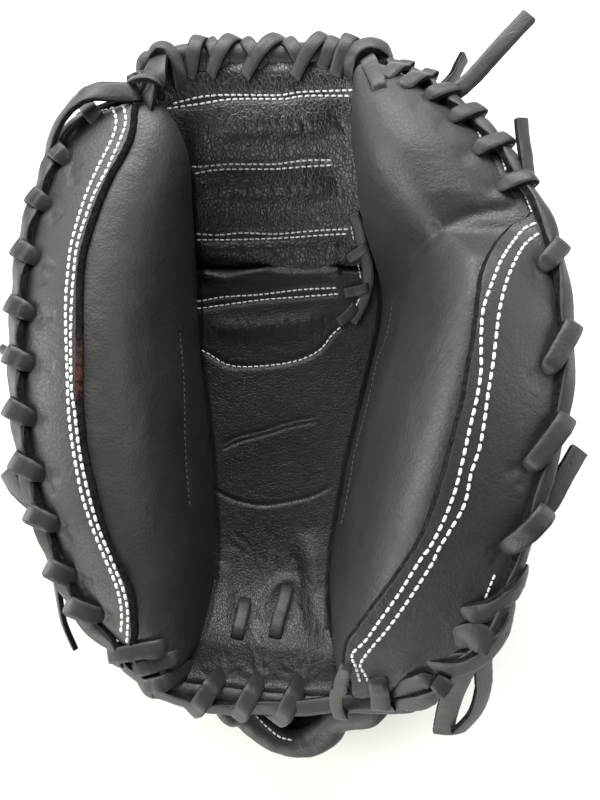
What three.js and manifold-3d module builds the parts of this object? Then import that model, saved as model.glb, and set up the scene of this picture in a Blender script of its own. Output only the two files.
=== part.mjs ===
// Catcher's mitt of black leather for the left hand, lying on its back with the pocket open upwards.
// Millimetres, +Z up. +X is the finger side, +Y runs from the heel to the top of the web.
// Every piece is lofted through sections across the mitt, and the heel and the web are then bowed.
import * as THREE from "three";
import { mergeVertices } from "three/addons/utils/BufferGeometryUtils.js";
import Module from "manifold-3d";

const wasm = await Module();
wasm.setup();

// Thicknesses and clearances
const GAP = 0.4;
const BAND_GAP = 0.7;
const BACK_GAP = 0.7;
const BACK_LEATHER = 2.4;
const STRAP_LEATHER = 3;
const BAND_LEATHER = 1.8;
const PALM_THICKNESS = 10;
const WEB_THICKNESS = 7;
const RIM_THICKNESS = 6;
const LACE_WIDTH = 7.2;
const LACE_THICKNESS = 2.2;
const LACE_LIFT = GAP + LACE_THICKNESS / 2;

// Lengths along the mitt, before the heel and the web are bowed
const HEEL_END = -125;
const WEB_FOLD = 82;
const WEB_END = 150;
const THUMB_PAD_END = 146;
const THUMB_BAND_END = 138;
const FINGER_BAND_END = 61;
const STRAP_FRONT = -102.6;
const STRAP_STEP = -101.6;

// Points along each wall of the back in one section
const BACK_POINTS = 9;

// Rolled welts on the web's top edge and on the heel
const TOP_ROLL = { edge: WEB_END, radius: 6.5, from: -72, to: 42, drop: 4.5 };
const HEEL_ROLL = { edge: HEEL_END, radius: 5, from: -58, to: 50, drop: 3.5 };

// How far the heel and the web's top are bowed out, where each bow begins and ends, and how flat
// its middle is
const HEEL_BOW = { depth: 12.8, start: -60, end: HEEL_END, centre: 0, reach: 100, flatness: 1 };
const WEB_BOW = { depth: 14, start: 90, end: WEB_END, centre: -15, reach: 80, flatness: 2 };

const table = (columns, rows) =>
  rows.map((row) => Object.fromEntries(columns.map((name, i) => [name, row[i]])));

// Sections of the pocket floor: height in the middle, and how much higher it is at each foot.
const FLOOR = table(
  ["y", "height", "rise"],
  [
    [-170, 77, 6],
    [-125, 77, 6],
    [-112, 57, 5],
    [-96, 42.5, 4],
    [-78, 35.3, 3],
    [-56, 32.8, 2],
    [-30, 32, 2],
    [0, 32.8, 2],
    [30, 34.2, 2],
    [56, 38.3, 2],
    [78, 44.6, 2],
    [96, 52.8, 3],
    [114, 69, 4],
    [130, 89, 4],
    [144, 99.5, 4],
    [150, 101.5, 4],
    [160, 104, 4],
  ],
);

// Sections of each padded roll: foot beside the floor, crest, rim, and how far the wall bulges.
const ROLL_COLUMNS = ["y", "foot", "crestU", "crestZ", "rimU", "rimZ", "bulge"];
const THUMB = table(ROLL_COLUMNS, [
  [-125, 56, 62, 92, 70.5, 88, 1],
  [-112, 50, 71, 98, 86.5, 95, 2],
  [-96, 47.5, 73.5, 105.5, 98, 102.5, 2],
  [-78, 46.5, 77.5, 112.5, 105.5, 108, 2],
  [-56, 48, 84.5, 119.5, 112.5, 112.3, 2],
  [-30, 50.2, 90, 123.3, 118.5, 116.2, 2],
  [0, 53.5, 92.8, 125, 123, 118.5, 2],
  [30, 57.2, 92.8, 124.4, 125.3, 118, 2],
  [56, 58.4, 91.3, 122.6, 125.6, 116.3, 3],
  [78, 58.7, 88.6, 120.4, 124.5, 113.8, 5],
  [96, 58.5, 84.5, 118, 122.5, 111.2, 8],
  [114, 58, 79, 114.7, 119, 108.8, 10],
  [130, 60.5, 77.5, 112, 110, 106.6, 9],
  [144, 65, 73.5, 107, 83, 103.5, 4],
  [150, 67, 71, 104, 76, 102, 2],
]);
const FINGER = table(ROLL_COLUMNS, [
  [-125, 21, 29, 98, 62.5, 98.5, 1],
  [-112, 16.5, 20.5, 107, 71, 115, 1],
  [-96, 15.8, 24.5, 123.5, 78.3, 126.5, 1],
  [-78, 17.5, 35, 138, 83.5, 135, 1],
  [-56, 22, 44.7, 149, 89.3, 144, 1],
  [-30, 27, 52, 156.6, 94.3, 149.7, 1],
  [0, 34.5, 58.7, 160.7, 98.7, 152.2, 1],
  [30, 42, 64.3, 159.6, 100.5, 150.8, 1],
  [48, 46, 66, 155, 100, 148, 2],
  [58, 46.8, 64, 147, 99.2, 146.2, 4],
  [65, 46.6, 60, 142, 98.3, 144.7, 6],
  [72, 45.3, 57, 143, 97, 143, 14],
  [80, 43, 54, 145, 95.6, 140.8, 18],
  [96, 38, 48, 145, 90.8, 136.5, 21],
  [114, 34.5, 43, 141, 82.5, 130.5, 21],
  [130, 31, 39.5, 132.5, 71.5, 124, 15],
  [144, 28.5, 37, 121, 55, 115.5, 9],
  [150, 28, 36, 115, 43, 112, 8],
]);

// Inner edge of the leather band over each roll, as a distance from the middle of the mitt.
const THUMB_BAND = table(
  ["y", "edge"],
  [
    [-125, 62.5],
    [-112, 72],
    [-96, 74],
    [-78, 78],
    [-56, 85],
    [-30, 90.5],
    [0, 93.3],
    [30, 93.2],
    [56, 91.8],
    [96, 85.5],
    [114, 80.5],
    [130, 79.5],
    [140, 82],
  ],
);
const FINGER_BAND = table(
  ["y", "edge"],
  [
    [-125, 29.5],
    [-112, 21],
    [-96, 25],
    [-78, 35.8],
    [-56, 45.3],
    [-30, 52.6],
    [0, 59],
    [30, 65],
    [40, 68],
    [48, 72.5],
    [56, 80],
    [63, 90],
  ],
);

// Sections of the back: height of its underside, the flat that it lies on, and the middle seam.
const BACK = table(
  ["y", "base", "keep", "thumbFlat", "thumbSeam", "fingerFlat", "fingerSeam"],
  [
    [-125, 0, 0.5, 42, 10, 36, -10],
    [-103, 0, 0.62, 44, 10, 40, -10],
    [-101.6, 0, 0.64, 44, 10, 40, -10],
    [-100, 0, 1, 44, 10, 40, -10],
    [38, 0, 1, 46, 10, 42, -10],
    [46, 0.6, 1, 47, 10, 43, -10],
    [56, 3.5, 1, 50, 10, 45, -10],
    [66, 9, 1, 54, 10, 46, -10],
    [78, 21, 1, 57, 10, 46, -10],
    [88, 33.5, 1, 59, 10, 44, -10],
    [96, 42.3, 1, 60, 10, 42, -10],
    [104, 48.6, 1, 60.5, 16, 40.5, -4],
    [116, 60.5, 1, 61, 42, 39, 20],
    [130, 78.5, 1, 64, 54.5, 35, 25],
    [144, 89, 1, 68, 59, 32.5, 22.5],
    [150, 91, 1, 70, 61, 32, 22],
  ],
);

// Sections of the wrist strap behind the heel: its two upper edges and its underside.
const STRAP = table(
  ["y", "base", "thumbU", "thumbZ", "fingerU", "fingerZ"],
  [
    [-170, 35, 14, 43, 26, 45],
    [-166, 28, 25, 46, 36, 49],
    [-158, 16, 36, 51, 46, 54],
    [-148, 7, 44, 55, 51, 58],
    [-136, 1.5, 57, 56, 55, 58],
    [-126, 0, 64, 50, 57, 52],
  ],
);

// A smooth curve through one column of a table, read at any length along the mitt. It never
// swings past the values that it passes through.
function column(rows, name) {
  const STEEPEST = 3;
  const rise = (a, b) => (b[name] - a[name]) / (b.y - a.y);
  const slopeAt = (i) => {
    if (i === 0 || i === rows.length - 1) return 0;
    const before = rise(rows[i - 1], rows[i]);
    const after = rise(rows[i], rows[i + 1]);
    if (before * after <= 0) return 0;
    const limit = STEEPEST * Math.min(Math.abs(before), Math.abs(after));
    return THREE.MathUtils.clamp(rise(rows[i - 1], rows[i + 1]), -limit, limit);
  };
  return (y) => {
    const clamped = THREE.MathUtils.clamp(y, rows[0].y, rows[rows.length - 1].y);
    let i = 0;
    while (i < rows.length - 2 && rows[i + 1].y < clamped) i += 1;
    const [low, high] = [rows[i], rows[i + 1]];
    const span = high.y - low.y;
    const t = (clamped - low.y) / span;
    const cubic = (t - 1) * (t - 1);
    return (
      (1 + 2 * t) * cubic * low[name] +
      t * cubic * span * slopeAt(i) +
      t * t * (3 - 2 * t) * high[name] +
      t * t * (t - 1) * span * slopeAt(i + 1)
    );
  };
}

const columnsOf = (rows) =>
  Object.fromEntries(
    Object.keys(rows[0])
      .filter((name) => name !== "y")
      .map((name) => [name, column(rows, name)]),
  );

const floorAt = columnsOf(FLOOR);
const backAt = columnsOf(BACK);
const strapAt = columnsOf(STRAP);

// Each side is drawn in its own section plane: u runs outwards from the middle, z runs up.
const THUMB_SIDE = {
  sign: -1,
  ...columnsOf(THUMB),
  band: column(THUMB_BAND, "edge"),
  flat: backAt.thumbFlat,
  seam: (y) => backAt.thumbSeam(y) + GAP / 2,
};
const FINGER_SIDE = {
  sign: 1,
  ...columnsOf(FINGER),
  band: column(FINGER_BAND, "edge"),
  flat: backAt.fingerFlat,
  seam: (y) => backAt.fingerSeam(y) + GAP / 2,
};

// Thickness of the pocket floor, which thins from the padded palm to the web.
function slabThickness(y) {
  const THINS_FROM = 66;
  const THINS_TO = 96;
  const thinned = THREE.MathUtils.smoothstep(y, THINS_FROM, THINS_TO);
  return THREE.MathUtils.lerp(PALM_THICKNESS, WEB_THICKNESS, thinned);
}

// How much a wall that turns across the mitt is thickened in its section, to keep its true thickness.
function slant(side, y) {
  const step = 2;
  const slope = (side.rimU(y + step) - side.rimU(y - step)) / (2 * step);
  return Math.hypot(1, slope);
}

const point = (u, z) => new THREE.Vector2(u, z);

function bezier(a, b, c, d, steps) {
  return new THREE.CubicBezierCurve(a, b, c, d).getPoints(steps);
}

// Height of a padded roll between its rim and its crest.
function topHeight(side, y, u) {
  const across = (side.rimU(y) - u) / (side.rimU(y) - side.crestU(y));
  const fall = 1 - Math.min(Math.max(across, 0), 1);
  return side.rimZ(y) + (side.crestZ(y) - side.rimZ(y)) * (1 - fall * fall);
}

// Front of a padded roll, from the rim over the crest and down its wall to the foot.
function rollFront(side, y) {
  const TOP_STEPS = 3;
  const WALL_STEPS = 7;
  const SHOULDER = { across: 0.75, down: 0.02 };
  const SHIN = { out: 0.6, up: 0.42 };
  const top = [];
  for (let i = 0; i < TOP_STEPS; i += 1) {
    const u = THREE.MathUtils.lerp(side.rimU(y), side.crestU(y), i / TOP_STEPS);
    top.push(point(u, topHeight(side, y, u)));
  }
  const crest = point(side.crestU(y), side.crestZ(y));
  const foot = point(side.foot(y), floorAt.height(y) + floorAt.rise(y) + GAP);
  const width = crest.x - foot.x;
  const height = crest.y - foot.y;
  const bulge = side.bulge(y);
  const shoulder = point(crest.x - SHOULDER.across * width - bulge, crest.y - SHOULDER.down * height);
  const shin = point(foot.x - SHIN.out * bulge, foot.y + SHIN.up * height);
  return [...top, ...bezier(crest, shoulder, shin, foot, WALL_STEPS)];
}

// Outside of the back on one side, from the rim down to the seam in the middle.
function backOutline(side, y) {
  const CURVE_STEPS = 10;
  const BELLY = { out: 0.05, up: 0.42 };
  const CORNER = 0.58;
  const reach = side.rimU(y) + (BACK_GAP + BACK_LEATHER) * slant(side, y);
  const top = side.rimZ(y) + BAND_LEATHER;
  const base = backAt.base(y);
  const rim = point(reach, top);
  const belly = point(reach + BELLY.out * (top - base), base + BELLY.up * (top - base));
  const corner = point(side.flat(y) + CORNER * (reach - side.flat(y)), base);
  const flat = point(side.flat(y), base);
  return [...bezier(rim, belly, corner, flat, CURVE_STEPS), point(side.seam(y), base)];
}

// The first part of a line of points, as evenly spaced points.
function evenly(line, fraction, count) {
  const lengths = [0];
  for (let i = 1; i < line.length; i += 1) {
    lengths.push(lengths[i - 1] + line[i].distanceTo(line[i - 1]));
  }
  const total = lengths[lengths.length - 1] * fraction;
  const even = [];
  for (let i = 0; i < count; i += 1) {
    const length = (total * i) / (count - 1);
    let k = 0;
    while (k < line.length - 2 && lengths[k + 1] < length) k += 1;
    const t = (length - lengths[k]) / (lengths[k + 1] - lengths[k]);
    even.push(line[k].clone().lerp(line[k + 1], t));
  }
  return even;
}

// A line of points moved sideways by a distance, to the left of its direction if that is positive.
function offset(line, distance) {
  return line.map((p, i) => {
    const before = line[Math.max(i - 1, 0)];
    const after = line[Math.min(i + 1, line.length - 1)];
    const along = after.clone().sub(before).normalize();
    return point(p.x - along.y * distance, p.y + along.x * distance);
  });
}

// How far out a line that runs downwards lies at a height.
function reachAt(line, z) {
  let i = 0;
  while (i < line.length - 2 && line[i + 1].y > z) i += 1;
  const t = (line[i].y - z) / (line[i].y - line[i + 1].y);
  return THREE.MathUtils.lerp(line[i].x, line[i + 1].x, THREE.MathUtils.clamp(t, 0, 1));
}

// Back of a padded roll, from under its foot along the inside of the leather back up to the rim.
function rollBack(side, y) {
  const STEPS = 5;
  const HEEL = 0.16;
  const JOIN = { height: 8, share: 0.4 };
  const CLEARANCE = 1.1;
  const sole = floorAt.height(y) + floorAt.rise(y) - slabThickness(y);
  const rim = point(side.rimU(y), side.rimZ(y) - RIM_THICKNESS);
  const width = rim.x - side.foot(y);
  const inwards = (BACK_GAP + BACK_LEATHER) * slant(side, y) + CLEARANCE;
  const inside = offset(evenly(backOutline(side, y), 1, BACK_POINTS), -inwards);
  const join = sole + Math.min(JOIN.height, JOIN.share * (rim.y - sole));
  const back = [];
  for (let i = 0; i < STEPS; i += 1) {
    const z = THREE.MathUtils.lerp(join, rim.y, i / STEPS);
    back.push(point(Math.min(reachAt(inside, z), rim.x), z));
  }
  return [point(side.foot(y), sole), point(side.foot(y) + HEEL * width, sole), ...back, rim];
}

const place = (side, y) => (p) => new THREE.Vector3(side.sign * p.x, y, p.y);

// Triangles across a ring, rung by rung from its first and last points, running the way it runs.
function capOf(count) {
  const triangles = [];
  for (let low = 0, high = count - 1; high - low > 1; low += 1, high -= 1) {
    triangles.push([low, low + 1, high]);
    if (high - low > 2) triangles.push([low + 1, high - 1, high]);
  }
  return triangles;
}

// Six times the volume that the triangles enclose: it is negative where they face inwards.
function signedVolume(positions, index) {
  const corner = (k) => new THREE.Vector3().fromArray(positions, 3 * index[k]);
  let volume = 0;
  for (let k = 0; k < index.length; k += 3) {
    volume += corner(k).dot(corner(k + 1).cross(corner(k + 2)));
  }
  return volume;
}

// A closed solid through rings of equally many points, with its faces pointing out.
function loft(rings) {
  const count = rings[0].length;
  const positions = rings.flat().flatMap((p) => [p.x, p.y, p.z]);
  const index = [];
  for (let r = 0; r < rings.length - 1; r += 1) {
    for (let i = 0; i < count; i += 1) {
      const a = r * count + i;
      const b = r * count + ((i + 1) % count);
      index.push(a, b, a + count, b, b + count, a + count);
    }
  }
  const last = (rings.length - 1) * count;
  for (const [a, b, c] of capOf(count)) {
    index.push(a, c, b);
    index.push(last + a, last + b, last + c);
  }
  if (signedVolume(positions, index) < 0) index.reverse();
  const geometry = new THREE.BufferGeometry();
  geometry.setAttribute("position", new THREE.Float32BufferAttribute(positions, 3));
  geometry.setIndex(index);
  return geometry;
}

function toManifold(geometry) {
  const merged = mergeVertices(geometry, 1e-4);
  return new wasm.Manifold(
    new wasm.Mesh({
      numProp: 3,
      vertProperties: merged.attributes.position.array,
      triVerts: new Uint32Array(merged.index.array),
    }),
  );
}

// Several closed shapes joined into one solid.
function fuse(geometries) {
  const joined = geometries.map(toManifold).reduce((whole, piece) => whole.add(piece));
  const mesh = joined.getMesh();
  const geometry = new THREE.BufferGeometry();
  geometry.setAttribute("position", new THREE.Float32BufferAttribute(mesh.vertProperties, 3));
  geometry.setIndex([...mesh.triVerts]);
  return geometry;
}

// Lengths along the mitt at which the pieces are sectioned: close where the crease and the ends are.
const STATIONS = [
  -125, -118, -110, -100, -88, -74, -58, -40, -20, 0, 20, 36, 48, 58, 65, 72, 80, 92, 104, 116, 128,
  138, 146, 150,
];

// The stations strictly between two lengths, with the two lengths themselves.
const stationsBetween = (from, to, extra = []) => {
  const inner = [...STATIONS, ...extra].filter((y) => y > from + 1 && y < to - 1);
  return [from, ...inner.sort((a, b) => a - b), to];
};

function padGeometry(side, end) {
  return loft(
    stationsBetween(HEEL_END, end).map((y) => {
      const ring = [...rollFront(side, y), ...rollBack(side, y)];
      return ring.map(place(side, y));
    }),
  );
}

function bandGeometry(side, end) {
  const STEPS = 4;
  return loft(
    stationsBetween(HEEL_END, end).map((y) => {
      const under = [];
      for (let i = 0; i <= STEPS; i += 1) {
        const u = THREE.MathUtils.lerp(side.rimU(y), side.band(y), i / STEPS);
        under.push(point(u, topHeight(side, y, u) + BAND_GAP));
      }
      const over = under.map((p) => point(p.x, p.y + BAND_LEATHER));
      return [...under, ...over.reverse()].map(place(side, y));
    }),
  );
}

// Height of the pocket floor at any place between the two feet.
function floorTop(x, y) {
  const left = -THUMB_SIDE.foot(y);
  const right = FINGER_SIDE.foot(y);
  const across = (2 * x - left - right) / (right - left);
  return floorAt.height(y) + floorAt.rise(y) * across * across;
}

function floorGeometry(from, to) {
  const STEPS = 8;
  return loft(
    stationsBetween(from, to).map((y) => {
      const left = -THUMB_SIDE.foot(y) + GAP;
      const right = FINGER_SIDE.foot(y) - GAP;
      const top = [];
      for (let i = 0; i <= STEPS; i += 1) {
        const x = THREE.MathUtils.lerp(left, right, i / STEPS);
        top.push(new THREE.Vector3(x, y, floorTop(x, y)));
      }
      const bottom = top.map((p) => new THREE.Vector3(p.x, y, p.z - slabThickness(y)));
      return [...top, ...bottom.reverse()];
    }),
  );
}

// A leather wall along an outline: the outline is its outside, and the inside is drawn in from it.
function wallRing(outline, thickness) {
  return [...outline, ...offset(outline, thickness).reverse()];
}

// The part of a back's outline that is built: behind the heel it stops above the wrist strap.
const backEdge = (side, y) => evenly(backOutline(side, y), backAt.keep(y), BACK_POINTS);

function backGeometry(side, end) {
  return loft(
    stationsBetween(HEEL_END, end, [STRAP_STEP]).map((y) => {
      const outline = backEdge(side, y);
      return wallRing(outline, -BACK_LEATHER).map(place(side, y));
    }),
  );
}

// Outline of the wrist strap across the mitt, from its thumb edge under the hand to its finger edge.
function strapOutline(y) {
  const STEPS = 6;
  const CLEARANCE = 1.8;
  const FULL_WIDTH = 60;
  const BELLY = { inwards: 0.1, up: 0.4 };
  const CORNER = 0.45;
  const half = (side, u, z) => {
    const flat = side.flat(Math.max(y, HEEL_END)) * Math.min(1, u / FULL_WIDTH);
    const base = y < HEEL_END ? strapAt.base(y) : 0;
    const edge = point(u, z);
    const belly = point(u - BELLY.inwards * (z - base), base + BELLY.up * (z - base));
    const corner = point(flat + CORNER * (u - flat), base);
    return bezier(edge, belly, corner, point(flat, base), STEPS);
  };
  const edgeOf = (side, u, z) => {
    if (y < HEEL_END) return point(u, z);
    const lowest = backEdge(side, y)[BACK_POINTS - 1];
    return point(lowest.x - CLEARANCE, lowest.y - CLEARANCE);
  };
  const thumb = edgeOf(THUMB_SIDE, strapAt.thumbU(y), strapAt.thumbZ(y));
  const finger = edgeOf(FINGER_SIDE, strapAt.fingerU(y), strapAt.fingerZ(y));
  const left = half(THUMB_SIDE, thumb.x, thumb.y).map((p) => point(-p.x, p.y));
  const right = half(FINGER_SIDE, finger.x, finger.y).reverse();
  return [...left, ...right];
}

function strapGeometry() {
  const lengths = [STRAP_FRONT, -108, -116, -125, -132, -140, -148, -156, -163, -168];
  return loft(
    lengths.map((y) => {
      const ring = wallRing(strapOutline(y), STRAP_LEATHER);
      return ring.map((p) => new THREE.Vector3(p.x, y, p.y));
    }),
  );
}

// A round welt across the mitt, just past the edge of the floor at a given length.
function rollCentre(roll, x) {
  const outwards = roll.edge > 0 ? 1 : -1;
  const y = roll.edge + outwards * (GAP + roll.radius);
  return new THREE.Vector3(x, y, floorTop(x, roll.edge) - roll.drop);
}

function rollGeometry(roll) {
  const SIDES = 8;
  const STEPS = 14;
  const rings = [];
  for (let i = 0; i <= STEPS; i += 1) {
    const centre = rollCentre(roll, THREE.MathUtils.lerp(roll.from, roll.to, i / STEPS));
    const ring = [];
    for (let k = 0; k < SIDES; k += 1) {
      const turn = (2 * Math.PI * k) / SIDES;
      const y = centre.y + roll.radius * Math.cos(turn);
      ring.push(new THREE.Vector3(centre.x, y, centre.z + roll.radius * Math.sin(turn)));
    }
    rings.push(ring);
  }
  return loft(rings);
}

// A flat leather lace through points, with its width along a direction that each point gives.
function strip(points, acrossAt, width = LACE_WIDTH, thickness = LACE_THICKNESS) {
  const rings = points.map((p, i) => {
    const before = points[Math.max(i - 1, 0)];
    const after = points[Math.min(i + 1, points.length - 1)];
    const along = after.clone().sub(before).normalize();
    const normal = along.clone().cross(acrossAt(i)).normalize();
    const across = normal.clone().cross(along);
    const corner = (a, n) =>
      p
        .clone()
        .addScaledVector(across, (a * width) / 2)
        .addScaledVector(normal, (n * thickness) / 2);
    return [corner(1, 1), corner(-1, 1), corner(-1, -1), corner(1, -1)];
  });
  return loft(rings);
}

// Outer top corner of the rim, where the band meets the back.
function rimCorner(side, y, outwards = 0, upwards = 0) {
  const reach = side.rimU(y) + (BACK_GAP + BACK_LEATHER) * slant(side, y);
  const top = side.rimZ(y) + BAND_GAP + BAND_LEATHER;
  return new THREE.Vector3(side.sign * (reach + outwards), y, top + upwards);
}

function rimAlong(side, y) {
  const step = 2;
  return rimCorner(side, y + step).sub(rimCorner(side, y - step)).normalize();
}

// One turn of lace over the rim, from its hole in the band to its hole in the back.
function rimWrap(side, { y, lean }) {
  const LEG = 10;
  const CLEARANCE = 0.8;
  const OVER_RIM = { out: 2.6, up: 1.2 };
  const BELOW_RIM = { out: 3.4, down: 4 };
  const HOLE_OUT = 3.8;
  const spread = slant(side, y);
  const onBand = (inwards, share) => {
    const at = y - share * lean;
    const u = side.rimU(at) - inwards * spread;
    const top = topHeight(side, at, u) + BAND_GAP + BAND_LEATHER;
    return new THREE.Vector3(side.sign * u, at, top + LACE_LIFT + CLEARANCE);
  };
  const path = [
    onBand(LEG, 1),
    onBand(0.5 * LEG, 0.75),
    onBand(0, 0.5),
    rimCorner(side, y, OVER_RIM.out * spread, OVER_RIM.up),
    rimCorner(side, y + lean / 2, BELOW_RIM.out * spread, -BELOW_RIM.down),
    rimCorner(side, y + lean, HOLE_OUT * spread, -LEG),
  ];
  return strip(path, () => rimAlong(side, y));
}

function strandPoint(side, y) {
  const CLEARANCE = 1.3;
  return rimCorner(side, y, CLEARANCE * slant(side, y), CLEARANCE);
}

// The lace that runs along the rim from turn to turn.
function rimStrand(side, from, to) {
  const NARROWED = 0.8;
  const path = stationsBetween(from, to).map((y) => strandPoint(side, y));
  return strip(path, () => new THREE.Vector3(side.sign, 0, -1), NARROWED * LACE_WIDTH);
}

// A free end of lace, from the strand at a given length to its tip.
function tail(side, { y, x1, y1, z1, x2, y2, z2, flat }) {
  const OUT = 2.4;
  const path = [
    strandPoint(side, y).add(new THREE.Vector3(OUT * side.sign, 0, 0)),
    new THREE.Vector3(x1, y1, z1),
    new THREE.Vector3((x1 + x2) / 2, (y1 + y2) / 2, (z1 + z2) / 2),
    new THREE.Vector3(x2, y2, z2),
  ];
  const across = flat ? new THREE.Vector3(-(y2 - y1), x2 - x1, 0) : new THREE.Vector3(0, 0, 1);
  return strip(path, () => across.clone().normalize());
}

const TURN_COLUMNS = ["y", "lean"];
const THUMB_TURNS = table(TURN_COLUMNS, [
  [-108, 2],
  [-94, 2],
  [-74, 2],
  [-54, 2],
  [-31, 2],
  [-7, 2],
  [16, 2],
  [39, 2],
  [62, 2],
  [85, 2],
  [109, 2],
]);
const FINGER_TURNS = table(TURN_COLUMNS, [
  [-112, 5],
  [-86, 6],
  [-59, 5],
  [-25, 4],
  [9, 3],
  [51, 3],
  [81, -4],
  [102, -4],
  [121, -3],
  [136, -2],
]);
const TAIL_COLUMNS = ["y", "x1", "y1", "z1", "x2", "y2", "z2", "flat"];
const THUMB_TAILS = table(TAIL_COLUMNS, [
  [-58, -124, -52, 110, -131.8, -35, 101.5, true],
  [-86, -110, -92, 100, -109.4, -117.3, 75, false],
]);
const FINGER_TAILS = table(TAIL_COLUMNS, [
  [-62, 99, -54, 148, 107.4, -26.5, 141, true],
  [90, 99, 98, 140, 91, 110.6, 143, true],
  [132, 78, 138, 129, 97.8, 160.1, 137, true],
  [-108, 88, -117, 104, 84.1, -166.9, 56, false],
  [-116, 82, -127, 98, 74.6, -164.6, 58, false],
]);

const THUMB_LACE = { turns: THUMB_TURNS, tails: THUMB_TAILS, from: -116, to: 114 };
const FINGER_LACE = { turns: FINGER_TURNS, tails: FINGER_TAILS, from: -118, to: 142 };

function rimLaceGeometry(side, { turns, tails, from, to }) {
  return fuse([
    rimStrand(side, from, to),
    ...turns.map((turn) => rimWrap(side, turn)),
    ...tails.map((row) => tail(side, row)),
  ]);
}

const TOP_WINDING = { from: -50, to: 18, turns: 6, lean: 4 };
const HEEL_WINDING = { from: -41, to: 10, turns: 5, lean: 4 };

// A lace that winds over a welt, as turns at even spacing and a strand that joins them.
function windingGeometry(roll, { from, to, turns, lean }) {
  const RING_CLEARANCE = 0.4;
  const LEG_CLEARANCE = 0.3;
  const FIRST_ANGLE = 105;
  const LAST_ANGLE = -105;
  const FIRST_LEAN = -0.6;
  const STEPS = 6;
  const LEG = 7;
  const NARROWED = 0.7;
  const outwards = roll.edge > 0 ? 1 : -1;
  const ringRadius = roll.radius + LACE_LIFT + RING_CLEARANCE;
  const shapes = [];
  for (let n = 0; n < turns; n += 1) {
    const x = THREE.MathUtils.lerp(from, to, n / (turns - 1));
    const across = rollCentre(roll, x + 1).sub(rollCentre(roll, x - 1)).normalize();
    const legY = roll.edge - outwards * LEG;
    const slope = (floorTop(x, roll.edge) - floorTop(x, legY)) / LEG;
    const lift = (LACE_LIFT + LEG_CLEARANCE) * Math.hypot(1, slope);
    const path = [
      new THREE.Vector3(x - lean, legY, floorTop(x - lean, legY) + lift),
      new THREE.Vector3(x - lean, roll.edge - outwards, floorTop(x - lean, roll.edge) + lift),
    ];
    for (let i = 0; i <= STEPS; i += 1) {
      const degrees = THREE.MathUtils.lerp(FIRST_ANGLE, LAST_ANGLE, i / STEPS);
      const angle = THREE.MathUtils.degToRad(degrees);
      const reach = outwards * ringRadius * Math.cos(angle);
      const centre = rollCentre(roll, x + lean * THREE.MathUtils.lerp(FIRST_LEAN, 1, i / STEPS));
      path.push(centre.add(new THREE.Vector3(0, reach, ringRadius * Math.sin(angle))));
    }
    shapes.push(strip(path, () => across));
  }
  const strand = [];
  for (let n = 0; n < turns; n += 1) {
    const centre = rollCentre(roll, THREE.MathUtils.lerp(from, to, n / (turns - 1)));
    strand.push(centre.add(new THREE.Vector3(0, outwards * ringRadius, 0)));
  }
  shapes.push(strip(strand, () => new THREE.Vector3(0, 0, 1), NARROWED * LACE_WIDTH));
  return fuse(shapes);
}

// A lace lying on the pocket floor through places given in plan, each raised by its own lift.
function floorLace(places, across) {
  const path = places.map(({ x, y, lift }) => new THREE.Vector3(x, y, floorTop(x, y) + lift));
  return strip(path, () => across);
}

const LOOP_COLUMNS = ["x", "y", "lift"];
const HEEL_LOOP_1 = table(LOOP_COLUMNS, [
  [-30, -94, 2.6],
  [-31, -98, 5],
  [-32, -104, 6],
  [-32.5, -110, 3.6],
]);
const HEEL_LOOP_2 = table(LOOP_COLUMNS, [
  [-8, -92, 2.6],
  [-9.5, -96, 5],
  [-12, -102, 6],
  [-14, -108, 3.6],
]);
const WEB_EDGE_STRAND = table(LOOP_COLUMNS, [
  [28, 100, 2.8],
  [30, 90, 2.6],
  [31.5, 80, 2.6],
  [31, 66, 2.4],
  [26, 52, 2.4],
  [21, 44, 2.2],
]);
const WEB_EDGE_TURNS = table(
  ["x", "y"],
  [
    [30.5, 88],
    [31.5, 68],
    [25, 50],
  ],
);

// Direction of the pocket floor towards the web.
function floorAlong(x, y) {
  return new THREE.Vector3(0, 2, floorTop(x, y + 1) - floorTop(x, y - 1)).normalize();
}

// One turn over the lace at the web's edge, as steps from its middle.
const WEB_EDGE_TURN = table(
  ["dx", "dy", "lift"],
  [
    [-6, -2, 2.6],
    [-2, -1, 4.4],
    [2, 1, 4.4],
    [6, 2, 3],
  ],
);

function webEdgeLaceGeometry() {
  const turns = WEB_EDGE_TURNS.map(({ x, y }) => {
    const places = WEB_EDGE_TURN.map(({ dx, dy, lift }) => ({ x: x + dx, y: y + dy, lift }));
    return floorLace(places, floorAlong(x, y));
  });
  return fuse([floorLace(WEB_EDGE_STRAND, new THREE.Vector3(1, 0, 0)), ...turns]);
}

// The lace that crosses the thumb side's upper corner, from the band to the welt of the web.
const BRIDGE = [
  new THREE.Vector3(-115.5, 118, 113.6),
  new THREE.Vector3(-112.5, 128, 117.5),
  new THREE.Vector3(-103, 139, 118),
  new THREE.Vector3(-87, 147.5, 115.5),
  new THREE.Vector3(-74, 153, 111.8),
  new THREE.Vector3(-66, 155, 109.6),
];

function bridgeGeometry() {
  const directions = BRIDGE.map((p, i) => {
    const before = BRIDGE[Math.max(i - 1, 0)];
    const after = BRIDGE[Math.min(i + 1, BRIDGE.length - 1)];
    const along = after.clone().sub(before);
    return new THREE.Vector3(-along.y, along.x, 0).normalize();
  });
  return strip(BRIDGE, (i) => directions[i]);
}

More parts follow.
